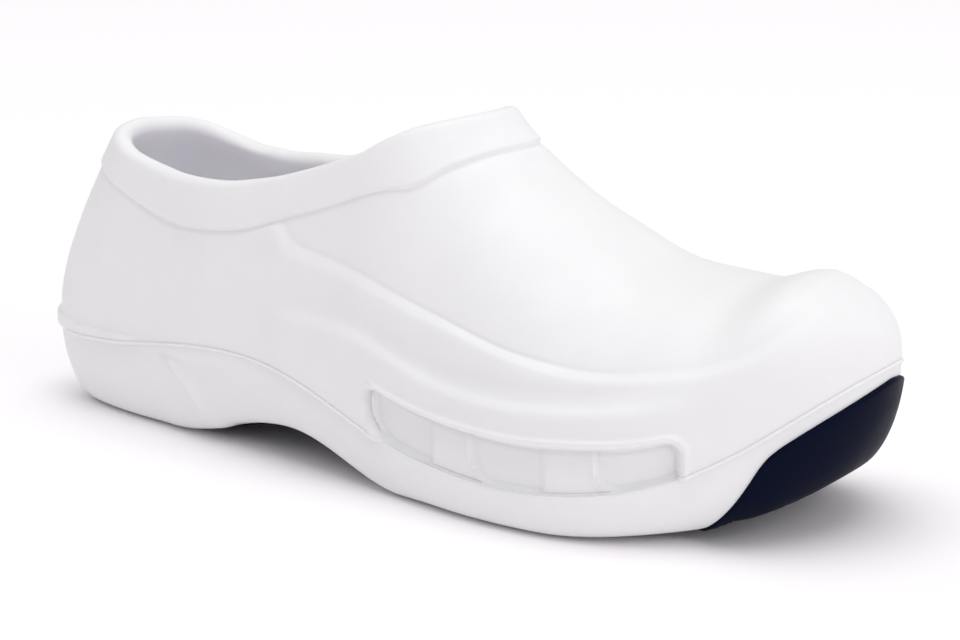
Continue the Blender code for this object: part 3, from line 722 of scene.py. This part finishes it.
def skin(name: str, rings: list[np.ndarray], looped: bool, form: ClogForm,
         surface: bpy.types.Material, inside: np.ndarray | None = None) -> bpy.types.Object:
    """One closed body through rings of equal counts, in the row's frame.

    Args:
        name: Name of the piece.
        rings: Rings of points round the shoe, in the form's measure.
        looped: Whether the last ring joins the first; otherwise both ends are bridged across.
        form: The clog's form, for the row's origin.
        surface: The body's material.
        inside: How much of the painted inside light each ring has: a lighter, bluish colour that stands
            in for the light inside the shoe.

    Returns:
        The new object, at the origin.
    """
    points = np.array(rings) - np.array(form.origin)
    levels, count = points.shape[:2]
    index = np.arange(levels * count).reshape(levels, count)
    low = index if looped else index[:-1]
    high = np.roll(index, -1, 0) if looped else index[1:]
    faces = np.stack([low, np.roll(low, -1, 1), np.roll(high, -1, 1), high], -1).reshape(-1, 4).tolist()
    if not looped:
        half = count // 2
        for row in (index[0].tolist(), index[-1].tolist()):
            for i in range(half):
                corners = [row[i], row[i + 1], row[count - i - 1], row[(count - i) % count]]
                faces.append(list(dict.fromkeys(corners)))
    mesh = bpy.data.meshes.new(name)
    mesh.from_pydata(points.reshape(-1, 3).tolist(), [], faces)
    body = bmesh.new()
    body.from_mesh(mesh)
    bmesh.ops.recalc_face_normals(body, faces=body.faces)
    body.to_mesh(mesh)
    body.free()
    if inside is not None:
        tint = mesh.attributes.new("inside", "FLOAT", "POINT")
        tint.data.foreach_set("value", np.repeat(inside, count).astype(np.float32))
    mesh.shade_smooth()
    mesh.set_sharp_from_angle(angle=radians(50))
    mesh.materials.append(surface)
    return show(name, mesh)


@dataclass
class Upper:
    """Hollow foam upper: wall, collar band and rim, side window, creases and heel lip."""

    form: ClogForm
    foam: bpy.types.Material
    gap: float = 0.3 * MM
    seam_round: float = 0.5 * MM
    collar_wall: float = 5.6 * MM
    # way down from the rim in which the wall thins to the form's wall
    collar_taper: float = 12 * MM
    band_proud: float = 1.0 * MM
    band_step: float = 1.2 * MM
    # a line is a fine groove, gone at twice its width from its middle
    band_line: float = 0.35 * MM
    band_line_width: float = 0.9 * MM
    band_line_span: Span = Span(0.10, 0.20)
    # creases: height, width of the rise, and the way in which it sinks again
    crease_sinks: float = 0.62
    upper_step: float = 1.1 * MM
    upper_width: float = 5.0 * MM
    upper_fade: float = 17 * MM
    upper_span: Span = Span(0.27, 0.14, 0.90, 0.085)
    upper_line: float = 0.30 * MM
    upper_line_width: float = 0.8 * MM
    upper_line_span: Span = Span(0.39, 0.03, 0.70, 0.14)
    lower_step: float = 1.5 * MM
    lower_width: float = 4.6 * MM
    lower_fade: float = 14 * MM
    lower_span: Span = Span(0.36, 0.05, 0.76, 0.08)
    lower_line: float = 0.6 * MM
    lower_line_width: float = 3.0 * MM
    # rear end of the upper crease, where it turns up to the band
    notch: float = 0.418
    notch_round: float = 5.0 * MM
    lip_height: float = 5.0 * MM
    lip_fall: float = 0.62
    lip_proud: float = 1.4 * MM
    lip_end: float = 0.215
    window_start: float = 0.498
    window_end: float = 0.806
    window_depth: float = 2.0 * MM
    window_wall: float = 0.8 * MM
    # its upper corners, and its lower corner toward the heel
    window_round: float = 5.5 * MM
    window_foot: float = 9.0 * MM
    window_lip: float = 0.9 * MM
    window_line: float = 0.5 * MM
    pocket_depth: float = 1.0 * MM
    pocket_rim: float = 0.8 * MM
    pocket_round: float = 8.0 * MM
    # start and end of each pocket, as shares of the half outline
    pockets: tuple[tuple[float, float], ...] = ((0.506, 0.575), (0.618, 0.690), (0.735, 0.88))

    @staticmethod
    def rounded(ahead: np.ndarray, over: np.ndarray, radius: float) -> np.ndarray:
        """Distance inside two square edges whose corner is rounded."""
        corner = radius - np.hypot(radius - ahead, radius - over)
        return np.where((ahead < radius) & (over < radius), corner, np.minimum(ahead, over))

    def window_inside(self, w: np.ndarray, up: np.ndarray) -> np.ndarray:
        """Distance inside the side window's edge, negative outside it."""
        top = FEATURES.at("window", w) * self.form.feature_reach
        ahead = (w - self.window_start) * self.form.half_length
        ends = np.minimum(ahead, (self.window_end - w) * self.form.half_length)
        upper = self.rounded(ends, top - up, self.window_round)
        lower = self.rounded(ahead, up, self.window_foot)
        at_foot = (up < self.window_foot) & (ahead < self.window_foot)
        return np.where(at_foot, np.minimum(upper, lower), upper)

    def pocket(self, w: np.ndarray, up: np.ndarray, start: float, end: float) -> np.ndarray:
        """One of the deeper pockets in the window, as a depth, with a raised rim round its rear end."""
        ahead, left = (w - start) * self.form.half_length, (end - w) * self.form.half_length
        rear = self.rounded(ahead, up - 0.5 * MM, self.pocket_round)
        rim = self.pocket_rim * bell((rear + 0.5 * MM) / (0.7 * MM)) * ease(left / (8 * MM))
        return self.pocket_depth * ease(rear / (1.0 * MM)) * ease(left / (0.6 * MM)) - rim

    def bulge_below(self, below: np.ndarray, step: float, width: float, fade: float) -> np.ndarray:
        """Profile under a crease: up within its width, then back down to a third of its height."""
        return step * ease(below / width) * (1 - self.crease_sinks * ease((below - width) / fade))

    def relief(self, w: np.ndarray, up: np.ndarray, total: np.ndarray) -> np.ndarray:
        """How far the features stand out of the form.

        Args:
            w: Share of the half outline of each station.
            up: Distance up the wall of each point.
            total: Length of each station's wall.

        Returns:
            Height above the form at each point.
        """
        reach, along = self.form.feature_reach, self.form.half_length
        band = FEATURES.at("band", w) * reach - (total - up)
        upper = FEATURES.at("upper", w) * reach - up
        behind = (self.notch - w) * along
        below = (upper + behind + np.hypot(upper - behind, self.notch_round)) / 2 - 1.3 * MM
        creases = self.bulge_below(below, self.upper_step, self.upper_width, self.upper_fade)
        creases = creases * self.upper_span.at(w)
        line = self.upper_line * bell((below + 0.2 * MM) / self.upper_line_width)
        creases = creases - line * self.upper_line_span.at(w)
        lower = FEATURES.at("lower", w) * reach - up
        rise = self.bulge_below(lower, self.lower_step, self.lower_width, self.lower_fade)
        line = self.lower_line * bell((lower + 2.5 * MM) / self.lower_line_width)
        creases = creases + (rise - line) * self.lower_span.at(w)
        # no crease runs up onto the band
        out = creases * (1 - ease(band / (2.5 * MM) + 1))
        out = out + self.band_proud * ease(band / self.band_step + 0.5)
        line = self.band_line * bell((band + 0.9 * MM) / self.band_line_width)
        out = out - line * self.band_line_span.at(w)
        lip = self.lip_height * (1 - self.lip_fall * w / self.lip_end)
        out = out + self.lip_proud * ease((lip - up) / MM + 0.5) * ease((self.lip_end - w) / 0.03)
        inside = self.window_inside(w, up)
        sunk = ease(inside / self.window_wall)
        out = out * (1 - sunk) - self.window_depth * sunk
        past_end = ease((w - self.window_start) * along / (6 * MM))
        out = out + self.window_lip * bell((inside + 1.2 * MM) / (0.8 * MM)) * past_end
        out = out - self.window_line * bell((inside - 1.2 * MM) / (0.6 * MM)) * past_end
        hollow = sum(self.pocket(w, up, *ends) for ends in self.pockets)
        return out - hollow * ease((inside - 0.4 * MM) / MM)

    def levels(self, w: np.ndarray, total: np.ndarray) -> np.ndarray:
        """Distances up the wall of the rings, which follow the features."""
        reach = self.form.feature_reach
        window, lower, upper = (FEATURES.at(name, w) * reach for name in ("window", "lower", "upper"))
        band = total - FEATURES.at("band", w) * reach
        anchors = [0 * w, 0 * w + self.seam_round, 0 * w + 3.0 * MM, window - 4 * MM, window - 0.9 * MM,
                   window + 2.4 * MM, window + 5 * MM, lower - 5 * MM, lower + 2 * MM, upper - 6 * MM,
                   upper + 3 * MM, band - 2.5 * MM, band + 2.5 * MM, total]
        return graded(anchors, [1, 5, 8, 5, 15, 4, 4, 9, 10, 13, 28, 12, 8])

    def build(self) -> bpy.types.Object:
        """Lofts the wall up the outside, over the rim and down the inside."""
        form = self.form
        w, foot, inward = form.round_w, form.feet, form.inward
        ribs = form.round_shoe(form.wall_ribs)
        total = rib_length(ribs)
        levels = self.levels(w, total)
        grid = sample(ribs, levels)
        normal = loop_normals(grid)
        upright = (1 - ease(levels / (10 * MM)))[..., None]
        normal = unit(normal * (1 - upright) - inward[:, None] * upright)
        outside = grid + normal * self.relief(w[:, None], levels, total[:, None])[..., None]
        outside[:, 0] += inward * self.seam_round * 0.7
        outside[:, 0, 2] = foot[:, 2] + self.gap * 0.4
        rim_normal = normal[:, -1]
        rim_up = unit(grid[:, -1] - grid[:, -2])
        radius = (self.collar_wall + self.band_proud) / 2
        centre = grid[:, -1] + rim_normal * (self.band_proud - radius)
        turns = np.linspace(0, pi, 16)[1:-1]
        rim = [centre + radius * (np.cos(a) * rim_normal + np.sin(a) * rim_up) for a in turns]
        near_rim = ease(1 - (total[:, None] - levels) / self.collar_taper)
        wall = form.wall + (self.collar_wall - form.wall) * near_rim
        within = grid - normal * wall[..., None]
        within[:, 0] = foot + inward * form.wall
        within[:, 0, 2] += self.gap
        kept = np.unique(np.linspace(0, levels.shape[1] - 1, 34).astype(int))[::-1]
        rings = [outside[:, k] for k in range(levels.shape[1])] + rim + [within[:, k] for k in kept]
        # the inner half of the rim and the inside of the wall get the painted inside light
        tint = np.concatenate([np.zeros(levels.shape[1]), ease((turns - 1.9) / 1.0), np.ones(len(kept))])
        return skin("upper_skin", rings, True, form, self.foam, tint)


@dataclass
class Sole:
    """The sole's shared skin, from the parting line down to the spine of the underside."""

    form: ClogForm
    inset: float = 4.0 * MM
    climb_span: Span = Span(0.800, 0.036)
    under_end: float = 0.86
    side_steps: int = 44
    under_steps: int = 26

    def rubber_edge(self, w: np.ndarray, side_length: np.ndarray) -> np.ndarray:
        """Distance down the side at which the rubber starts."""
        climbing = RUBBER_EDGE.at("below", w) * self.form.tuck
        under = side_length + self.inset
        climb = self.climb_span.at(w)
        return under * (1 - climb) + np.minimum(climbing, under) * climb

    def half(self, w: np.ndarray, side: Side) -> np.ndarray:
        """Points and distances down the skin, for each station of one half."""
        ribs, edge = self.form.sole_ribs(w, side)
        border = self.rubber_edge(w, rib_length(ribs[:, :edge + 1]))[:, None]
        end = rib_length(ribs)[:, None] * self.under_end
        near = np.array([[0.12, 0.30, 0.55, 0.85, 1.3, 2.0]]) * MM
        side_shares = np.linspace(0, 1, self.side_steps)[None, :-1]
        under_shares = np.linspace(0, 1, self.under_steps)[None]
        start = border + near[:, -1:] + 0.8 * MM
        distances = np.concatenate([border * side_shares, border, border + near,
                                    start + (end - start) * under_shares], 1)
        return np.concatenate([sample(ribs, distances), distances[..., None]], 2)

    @cached_property
    def grid(self) -> np.ndarray:
        """Points once round the shoe, with the distance down as a fourth number."""
        return self.form.round_shoe(self.half)

    @cached_property
    def points(self) -> np.ndarray:
        """The skin's points."""
        return self.grid[..., :3]

    @cached_property
    def down(self) -> np.ndarray:
        """Distance of each point down the skin."""
        return self.grid[..., 3]

    @cached_property
    def normals(self) -> np.ndarray:
        """The skin's outward normals."""
        return -loop_normals(self.points)

    @property
    def edge_ring(self) -> int:
        """Ring at which the rubber starts."""
        return self.side_steps - 1


@dataclass
class Midsole:
    """White foam tray: side wall with its slanted heel facet, arch, toe spring and footbed."""

    sole: Sole
    foam: bpy.types.Material
    bed_height: float = 22 * MM
    bed_draw: float = 0.55
    recess: float = 2.2 * MM
    facet_depth: float = 1.1 * MM
    facet_ridge: float = 1.2 * MM
    flute_depth: float = 0.35 * MM
    flute_span: Span = Span(0.33, 0.06, 0.52, 0.10)
    seam_round: float = 0.5 * MM

    def bed(self) -> np.ndarray:
        """Edge of the footbed inside the tray."""
        form = self.sole.form
        tuck = SOLE.at("tuck", form.share(form.feet[:, 0])) * form.tuck
        points = form.feet + form.inward * (form.wall + self.bed_draw * tuck)[:, None]
        points[:, 2] = SOLE.at("bed", form.share(points[:, 0])) * self.bed_height
        return points

    def relief(self, w: np.ndarray, down: np.ndarray) -> np.ndarray:
        """Facet ahead of the slanted heel line, and the flute that follows the parting line."""
        ahead = (w - HEEL_LINE.at("along", down / MM)) * self.sole.form.half_length
        fall = ease(ahead / (7 * MM)) * (1 - ease((ahead - 7 * MM) / (45 * MM)))
        ridge = self.facet_ridge * bell(ahead / (1.3 * MM))
        ridge = ridge * (1 - ease((down - 19 * MM) / (6 * MM)))
        out = (ridge - self.facet_depth * fall) * ease((down - 1.5 * MM) / (5 * MM))
        flute = bell((down - (9 + 24 * (w - 0.36)) * MM) / (2.6 * MM))
        return out - self.flute_depth * flute * self.flute_span.at(w)

    def build(self) -> bpy.types.Object:
        """Lofts the tray from its footbed over the rim and down to the rubber's seat."""
        sole, form = self.sole, self.sole.form
        w, edge = form.round_w[:, None], sole.edge_ring
        bed = self.bed()
        raised = self.relief(w, sole.down) * ease((sole.down[:, [edge]] - sole.down) / (1.5 * MM))
        skin_points = sole.points + sole.normals * raised[..., None]
        skin_points[:, 0] += form.inward * self.seam_round * 0.6
        below = skin_points[:, 0] - form.inward * self.seam_round * 0.6
        below[:, 2] -= self.seam_round
        seat = sole.points - sole.normals * self.recess
        rim = form.feet + form.inward * form.wall
        knee = rim * 0.7 + bed * 0.3
        knee[:, 2] = rim[:, 2] * 0.35 + bed[:, 2] * 0.65
        flank = [skin_points[:, 0], below] + [skin_points[:, k] for k in range(1, edge + 1)]
        under = [seat[:, k] for k in range(edge, seat.shape[1], 4)]
        # the footbed and its edge get the painted inside light
        return skin("midsole_skin", [bed, knee, rim] + flank + under, False, form, self.foam,
                    np.array([1.0, 1.0, 0.0] + [0.0] * (len(flank) + len(under))))


@dataclass
class Outsole:
    """Navy rubber sheet in its seat, with a toe bumper and a sunk field for the lugs."""

    sole: Sole
    rubber: bpy.types.Material
    gap: float = 0.3 * MM
    recess: float = 2.2 * MM
    toe_proud: float = 0.5 * MM
    toe_span: Span = Span(0.84, 0.06)
    tread_end: float = 0.88
    edge_round: float = 0.9 * MM
    field_depth: float = 1.5 * MM
    field_inset: float = 5.0 * MM

    def build(self) -> bpy.types.Object:
        """Lofts the sheet: its face from the spine to the edge, then its back."""
        sole, form = self.sole, self.sole.form
        first = sole.edge_ring
        grid, normal = sole.points[:, first:], sole.normals[:, first:]
        past = sole.down[:, first:] - sole.down[:, [first]]
        proud = form.edge_lift + self.toe_proud * self.toe_span.at(form.round_w)
        corner = np.sqrt(np.clip(1 - (1 - np.clip(past / self.edge_round, 0, 1))**2, 0, 1))
        field_share = ease((past - self.field_inset) / (1.6 * MM)) * self.on_tread(grid)
        height = proud[:, None] * (0.1 + 0.9 * corner) - self.field_depth * field_share
        face = grid + normal * height[..., None]
        back = grid - normal * (self.recess - self.gap)
        last = grid.shape[1] - 1
        rings = [face[:, k] for k in range(last, -1, -1)] + [back[:, k] for k in range(0, last + 1, 4)]
        return skin("outsole_skin", rings, False, form, self.rubber)

    def on_tread(self, points: np.ndarray) -> np.ndarray:
        """1 on the level tread, 0 on the side and up the toe."""
        form, x = self.sole.form, points[..., 0]
        level = form.ground(x) + form.edge_lift
        return (points[..., 2] < level + 0.5 * MM) * (1 - ease((form.share(x) - self.tread_end) / 0.03))


@dataclass
class Insole:
    """Removable liner: a padded plate with a rounded edge and a dished heel."""

    midsole: Midsole
    liner: bpy.types.Material
    thickness: float = 4.0 * MM
    inset: float = 1.0 * MM
    gap: float = 0.3 * MM

    def build(self) -> bpy.types.Object:
        """Lofts the plate from its underside over a rounded edge to its dished top."""
        bed, inward = self.midsole.bed(), self.midsole.sole.form.inward
        edge = bed + inward * self.inset
        edge[:, 2] += self.gap
        up = np.array([0.0, 0.0, 1.0])
        rings = [edge + inward * 0.6 * MM]
        half = self.thickness / 2
        for turn in np.linspace(-pi / 2, pi / 2, 9):
            level = up * half * (1 + np.sin(turn))
            rings.append(edge + inward * half * 0.6 * (1 - np.cos(turn)) + level)
        top, count = rings[9], len(bed)
        middle = (top + top[(count - np.arange(count)) % count]) / 2
        for t in np.linspace(0.06, 0.94, 16):
            ring = top + (middle - top) * t
            ring[:, 2] -= self.dish(top[:, 0]) * ease(np.full(count, t / 0.5))
            rings.append(ring)
        return skin("insole_skin", rings, False, self.midsole.sole.form, self.liner)

    def dish(self, x: np.ndarray) -> np.ndarray:
        """How far the middle of the plate lies below its edge."""
        s = self.midsole.sole.form.share(x)
        return self.thickness * 0.3 * (1 - ease((s - 0.3) / 0.3))


class Modelled:
    """A piece that a tree of geometry nodes makes from a few guide points."""

    def __init__(self, name: str, surface: bpy.types.Material) -> None:
        """Starts an empty tree with one geometry input and output.

        Args:
            name: Name of the piece.
            surface: Material that the tree sets.
        """
        self.name, self.surface = name, surface
        self.tree = bpy.data.node_groups.new(name, "GeometryNodeTree")
        self.tree.interface.new_socket("Guide", in_out="INPUT", socket_type="NodeSocketGeometry")
        self.tree.interface.new_socket("Geometry", in_out="OUTPUT", socket_type="NodeSocketGeometry")
        self.values: dict[str, float | int] = {}

    def give(self, name: str, value: float | int) -> None:
        """Adds one named input and the value that the piece uses."""
        kind = "NodeSocketInt" if isinstance(value, int) else "NodeSocketFloat"
        self.tree.interface.new_socket(name, in_out="INPUT", socket_type=kind)
        self.values[name] = value

    def make(self, mesh: bpy.types.Mesh, last: bpy.types.NodeSocket) -> bpy.types.Object:
        """Ends the tree, runs it on the guide and keeps the result as a plain mesh.

        Args:
            mesh: The guide points.
            last: Output of the tree's last shaping node.

        Returns:
            The finished object, at the origin and without a modifier.
        """
        real = add_node(self.tree, "GeometryNodeRealizeInstances", {"Geometry": last})
        painted = add_node(self.tree, "GeometryNodeSetMaterial",
                           {"Geometry": real.outputs["Geometry"], "Material": self.surface})
        add_node(self.tree, "NodeGroupOutput", {"Geometry": painted.outputs["Geometry"]})
        guide = show(self.name + "_guide", mesh)
        modifier = guide.modifiers.new(self.name, "NODES")
        modifier.node_group = self.tree
        for item in self.tree.interface.items_tree:
            if item.item_type == "SOCKET" and item.in_out == "INPUT" and item.name in self.values:
                modifier[item.identifier] = self.values[item.name]
        shown = guide.evaluated_get(bpy.context.evaluated_depsgraph_get())
        result = bpy.data.meshes.new_from_object(shown)
        guide.modifiers.remove(modifier)
        bpy.data.objects.remove(guide)
        return show(self.name, result)


def guide_mesh(name: str, points: np.ndarray, linked: bool, **values: np.ndarray) -> bpy.types.Mesh:
    """Guide points, with numbers or vectors on them.

    Args:
        name: Name of the mesh.
        points: The points, in the row's frame.
        linked: Whether each point is joined to the next.
        **values: One number or vector for each point, by attribute name.

    Returns:
        The mesh.
    """
    mesh = bpy.data.meshes.new(name)
    edges = [(i, i + 1) for i in range(len(points) - 1)] if linked else []
    mesh.from_pydata(points.tolist(), edges, [])
    for key, array in values.items():
        vector = np.ndim(array) == 2
        kept = mesh.attributes.new(key, "FLOAT_VECTOR" if vector else "FLOAT", "POINT")
        kept.data.foreach_set("vector" if vector else "value", np.asarray(array, np.float32).ravel())
    return mesh


@dataclass
class Flash:
    """Thin torn bead that the mould leaves along the parting line."""

    upper: Upper
    foam: bpy.types.Material
    radius: float = 0.55 * MM
    start: float = 0.10
    # where the bead is fuller
    arch_span: Span = Span(0.36, 0.04)
    window_span: Span = Span(0.49, 0.02, 0.78, 0.03)

    def build(self) -> bpy.types.Object:
        """Sweeps a small round profile along the line, thick and thin by a fixed noise."""
        form = self.upper.form
        w = np.linspace(self.start, 1, 420)
        outer, inner = (form.foot_line(w, side) for side in Side)
        feet = np.concatenate([outer[0], inner[0][-2::-1]])
        inward = np.concatenate([outer[1], inner[1][-2::-1]])
        share = np.concatenate([w, w[-2::-1]])
        points = feet - np.array(form.origin)
        # the wall's foot, read just above the line and far below the rim
        column = np.ones((len(share), 1))
        stands = self.upper.relief(share[:, None], 0.5 * MM * column, 0.1 * column)
        points[:, :2] -= inward * (stands + 0.35 * self.radius)
        fuller = 0.50 * self.arch_span.at(share) + 0.75 * self.window_span.at(share)
        fullness = ease((share - self.start) / 0.12) * (0.40 + fuller)
        piece = Modelled("parting_flash", self.foam)
        piece.give("Bead radius", self.radius)
        piece.give("Tear length", 4.5 * MM)
        piece.give("Seed", 7)
        tree = piece.tree
        given = add_node(tree, "NodeGroupInput").outputs
        line = add_node(tree, "GeometryNodeMeshToCurve", {"Mesh": given["Guide"]})
        even = add_node(tree, "GeometryNodeResampleCurve",
                        {"Curve": line.outputs["Curve"], "Length": 0.9 * MM}, mode="LENGTH")
        full = add_node(tree, "GeometryNodeInputNamedAttribute", {"Name": "fullness"}, data_type="FLOAT")
        scale = add_node(tree, "ShaderNodeMath", {0: 1.0, 1: given["Tear length"]}, operation="DIVIDE")
        torn = add_node(tree, "ShaderNodeTexNoise",
                        {"W": given["Seed"], "Scale": scale.outputs["Value"], "Detail": 3.0},
                        noise_dimensions="4D")
        thick = spread(tree, torn.outputs["Fac"], (0.36, 0.62), (0.25, 1.15))
        both = add_node(tree, "ShaderNodeMath", {0: full.outputs["Attribute"], 1: thick},
                        operation="MULTIPLY")
        sized = add_node(tree, "GeometryNodeSetCurveRadius",
                         {"Curve": even.outputs["Curve"], "Radius": both.outputs["Value"]})
        ring = add_node(tree, "GeometryNodeCurvePrimitiveCircle",
                        {"Resolution": 8, "Radius": given["Bead radius"]})
        swept = add_node(tree, "GeometryNodeCurveToMesh",
                         {"Curve": sized.outputs["Curve"], "Profile Curve": ring.outputs["Curve"],
                          "Fill Caps": True})
        smooth = add_node(tree, "GeometryNodeSetShadeSmooth", {"Geometry": swept.outputs["Mesh"]})
        return piece.make(guide_mesh("flash_line", points, True, fullness=fullness),
                          smooth.outputs["Geometry"])


@dataclass
class Tread:
    """Field of low six-sided lugs under the heel and the forefoot."""

    outsole: Outsole
    rubber: bpy.types.Material
    pitch: float = 6.6 * MM
    # step between rows, in pitches, for a staggered grid
    row_step: float = 0.866
    radius: float = 3.2 * MM
    # how far a lug's foot is sunk in the rubber, and the highest spring that still has lugs
    rooted: float = 0.1 * MM
    highest: float = 3.9 * MM

    def sites(self) -> np.ndarray:
        """Places of the lugs, on a staggered grid kept inside the rubber's edge."""
        sole, form = self.outsole.sole, self.outsole.sole.form
        first = sole.edge_ring
        edge = sole.points[:, first + 6]
        rows = np.arange(0.02, 0.26, self.pitch * self.row_step)
        found = []
        for k, x in enumerate(rows):
            for y in np.arange(-0.06, 0.06, self.pitch) + (k % 2) * self.pitch / 2:
                found.append((x, y))
        points = np.array(found)
        s = form.share(points[:, 0])
        room = self.outsole.field_inset + self.radius + 1.5 * MM
        near = np.linalg.norm(points[:, None] - edge[None, :, :2], axis=2).min(1)
        half = len(edge) // 2
        outer, inner = edge[:half + 1], np.vstack([edge[half:], edge[:1]])[::-1]
        low = np.interp(points[:, 0], outer[:, 0], outer[:, 1])
        high = np.interp(points[:, 0], inner[:, 0], inner[:, 1])
        within = (points[:, 1] > low) & (points[:, 1] < high) & (near > room)
        level = (form.ground(points[:, 0]) < self.highest) & (s < 0.86)
        return points[within & level]

    def build(self) -> bpy.types.Object:
        """Sets one lug on each site, square to the tread there."""
        form = self.outsole.sole.form
        plan = self.sites()
        x = plan[:, 0]
        slope = (form.ground(x + MM) - form.ground(x - MM)) / (2 * MM)
        down = unit(np.stack([slope, 0 * x, 0 * x - 1], 1))
        base = np.stack([x, plan[:, 1], form.ground(x) + form.edge_lift], 1)
        depth = self.outsole.field_depth
        # a lug on a slope is sunk a little more, so that its low corner stays above the floor
        lifted = form.edge_lift - depth / 2 - self.rooted - self.radius * np.abs(slope)[:, None]
        points = base + down * lifted - np.array(form.origin)
        piece = Modelled("tread_lugs", self.rubber)
        piece.give("Lug radius", self.radius)
        piece.give("Lug height", depth + 2 * self.rooted)
        piece.give("Taper", 0.86)
        tree = piece.tree
        given = add_node(tree, "NodeGroupInput").outputs
        foot = add_node(tree, "ShaderNodeMath", {0: given["Lug radius"], 1: given["Taper"]},
                        operation="MULTIPLY")
        lug = add_node(tree, "GeometryNodeMeshCone",
                       {"Vertices": 6, "Radius Top": foot.outputs["Value"],
                        "Radius Bottom": given["Lug radius"], "Depth": given["Lug height"]})
        middle = add_node(tree, "GeometryNodeTransform",
                          {"Geometry": lug.outputs["Mesh"],
                           "Translation": (0.0, 0.0, -depth / 2 - self.rooted)})
        facing = add_node(tree, "GeometryNodeInputNamedAttribute", {"Name": "facing"},
                          data_type="FLOAT_VECTOR")
        turned = add_node(tree, "FunctionNodeAlignRotationToVector",
                          {"Vector": facing.outputs["Attribute"]}, axis="Z")
        placed = add_node(tree, "GeometryNodeInstanceOnPoints",
                          {"Points": given["Guide"], "Instance": middle.outputs["Geometry"],
                           "Rotation": turned.outputs["Rotation"]})
        return piece.make(guide_mesh("lug_sites", points, False, facing=down),
                          placed.outputs["Instances"])


def aimed(place: tuple[float, float, float], target: tuple[float, float, float]) -> Matrix:
    """Placement at one point, facing another."""
    way = Vector(target) - Vector(place)
    return Matrix.Translation(place) @ way.to_track_quat("-Z", "Y").to_matrix().to_4x4()


@dataclass
class Studio:
    """Pale floor, soft lights and the camera at the photograph's angle."""

    eye: tuple[float, float, float] = (0.40179, -0.59528, 0.22693)
    target: tuple[float, float, float] = (0.01476, 0.00006, 0.04456)
    roll: float = 0.530
    lens: float = 89.87
    floor_size: float = 12.0
    # strength of the world's light from the heel's side and from the toe's side
    heel_glow: float = 0.50
    toe_glow: float = 0.80

    def camera(self) -> None:
        """Places the camera."""
        data = bpy.data.cameras.new("camera")
        data.lens = self.lens
        data.sensor_width = 36.0
        data.clip_start, data.clip_end = 0.05, 50.0
        made = show("camera", data)
        made.matrix_world = aimed(self.eye, self.target) @ Matrix.Rotation(radians(self.roll), 4, "Z")
        bpy.context.scene.camera = made

    def floor(self) -> None:
        """Lays the floor."""
        half = self.floor_size / 2
        mesh = bpy.data.meshes.new("floor")
        mesh.from_pydata([(-half, -half, 0), (half, -half, 0), (half, half, 0), (-half, half, 0)], [],
                         [(0, 1, 2, 3)])
        surface, _, shader = blank_surface("matt_white_card")
        feed(surface.node_tree, shader,
             {"Base Color": linear("#FEFCFE"), "Roughness": 0.9, "Specular IOR Level": 0.0})
        mesh.materials.append(surface)
        made = show("floor", mesh)

    @staticmethod
    def light(name: str, place: tuple[float, float, float], size: float, power: float,
              tint: str = "#FFFFFF") -> None:
        """Adds one square soft light that faces the shoe.

        Args:
            name: Name of the light.
            place: Where it hangs.
            size: Length of its side.
            power: Its power in watts.
            tint: Its colour.
        """
        data = bpy.data.lights.new(name, "AREA")
        data.shape = "SQUARE"
        data.size = size
        data.energy = power
        data.color = linear(tint)[:3]
        made = show(name, data)
        made.matrix_world = aimed(place, (0.0, 0.0, 0.04))

    def build(self) -> None:
        """Makes the floor, the lights, the world and the camera."""
        self.floor()
        self.light("overhead", (0.0, 0.0, 4.0), 3.5, 72.0)
        self.light("toe_side", (4.0, -0.75, 2.25), 3.0, 26.0)
        world = bpy.data.worlds.new("studio")
        world.use_nodes = True
        backdrop = world.node_tree.nodes["Background"]
        way = add_node(world.node_tree, "ShaderNodeTexCoord").outputs["Generated"]
        parts = add_node(world.node_tree, "ShaderNodeSeparateXYZ", {"Vector": way})
        glow = spread(world.node_tree, parts.outputs["X"], (-1.0, 1.0), (self.heel_glow, self.toe_glow))
        feed(world.node_tree, backdrop, {"Color": linear("#FEFCFD"), "Strength": glow})
        scene = bpy.context.scene
        scene.world = world
        scene.view_settings.view_transform = "Standard"
        scene.view_settings.look = "None"
        self.camera()


def main() -> None:
    """Builds the clog piece by piece, logging each piece's triangles, then the studio."""
    logging.basicConfig(level=logging.INFO, format="%(name)s: %(message)s")
    form = ClogForm()
    foam, rubber = MouldedFoam().build(), MouldedRubber().build()
    liner = KnittedLiner().build()
    upper, sole = Upper(form, foam), Sole(form)
    midsole, outsole = Midsole(sole, foam), Outsole(sole, rubber)
    plan = [
        (upper, "foam_upper", ("upper",)),
        (midsole, "foam_midsole", ("midsole",)),
        (outsole, "rubber", ("outsole",)),
        (Insole(midsole, liner), "liner", ("insole",)),
        (Flash(upper, foam), "foam_upper", ()),
        (Tread(outsole, rubber), "rubber", ()),
    ]
    for piece, slot, nodes in plan:
        made = piece.build()
        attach(made, "root")
        if nodes:
            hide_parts(*nodes)
        made.data.calc_loop_triangles()
        LOG.info("%s: %d triangles", made.name, len(made.data.loop_triangles))
    Studio().build()


if __name__ == "__main__":
    main()
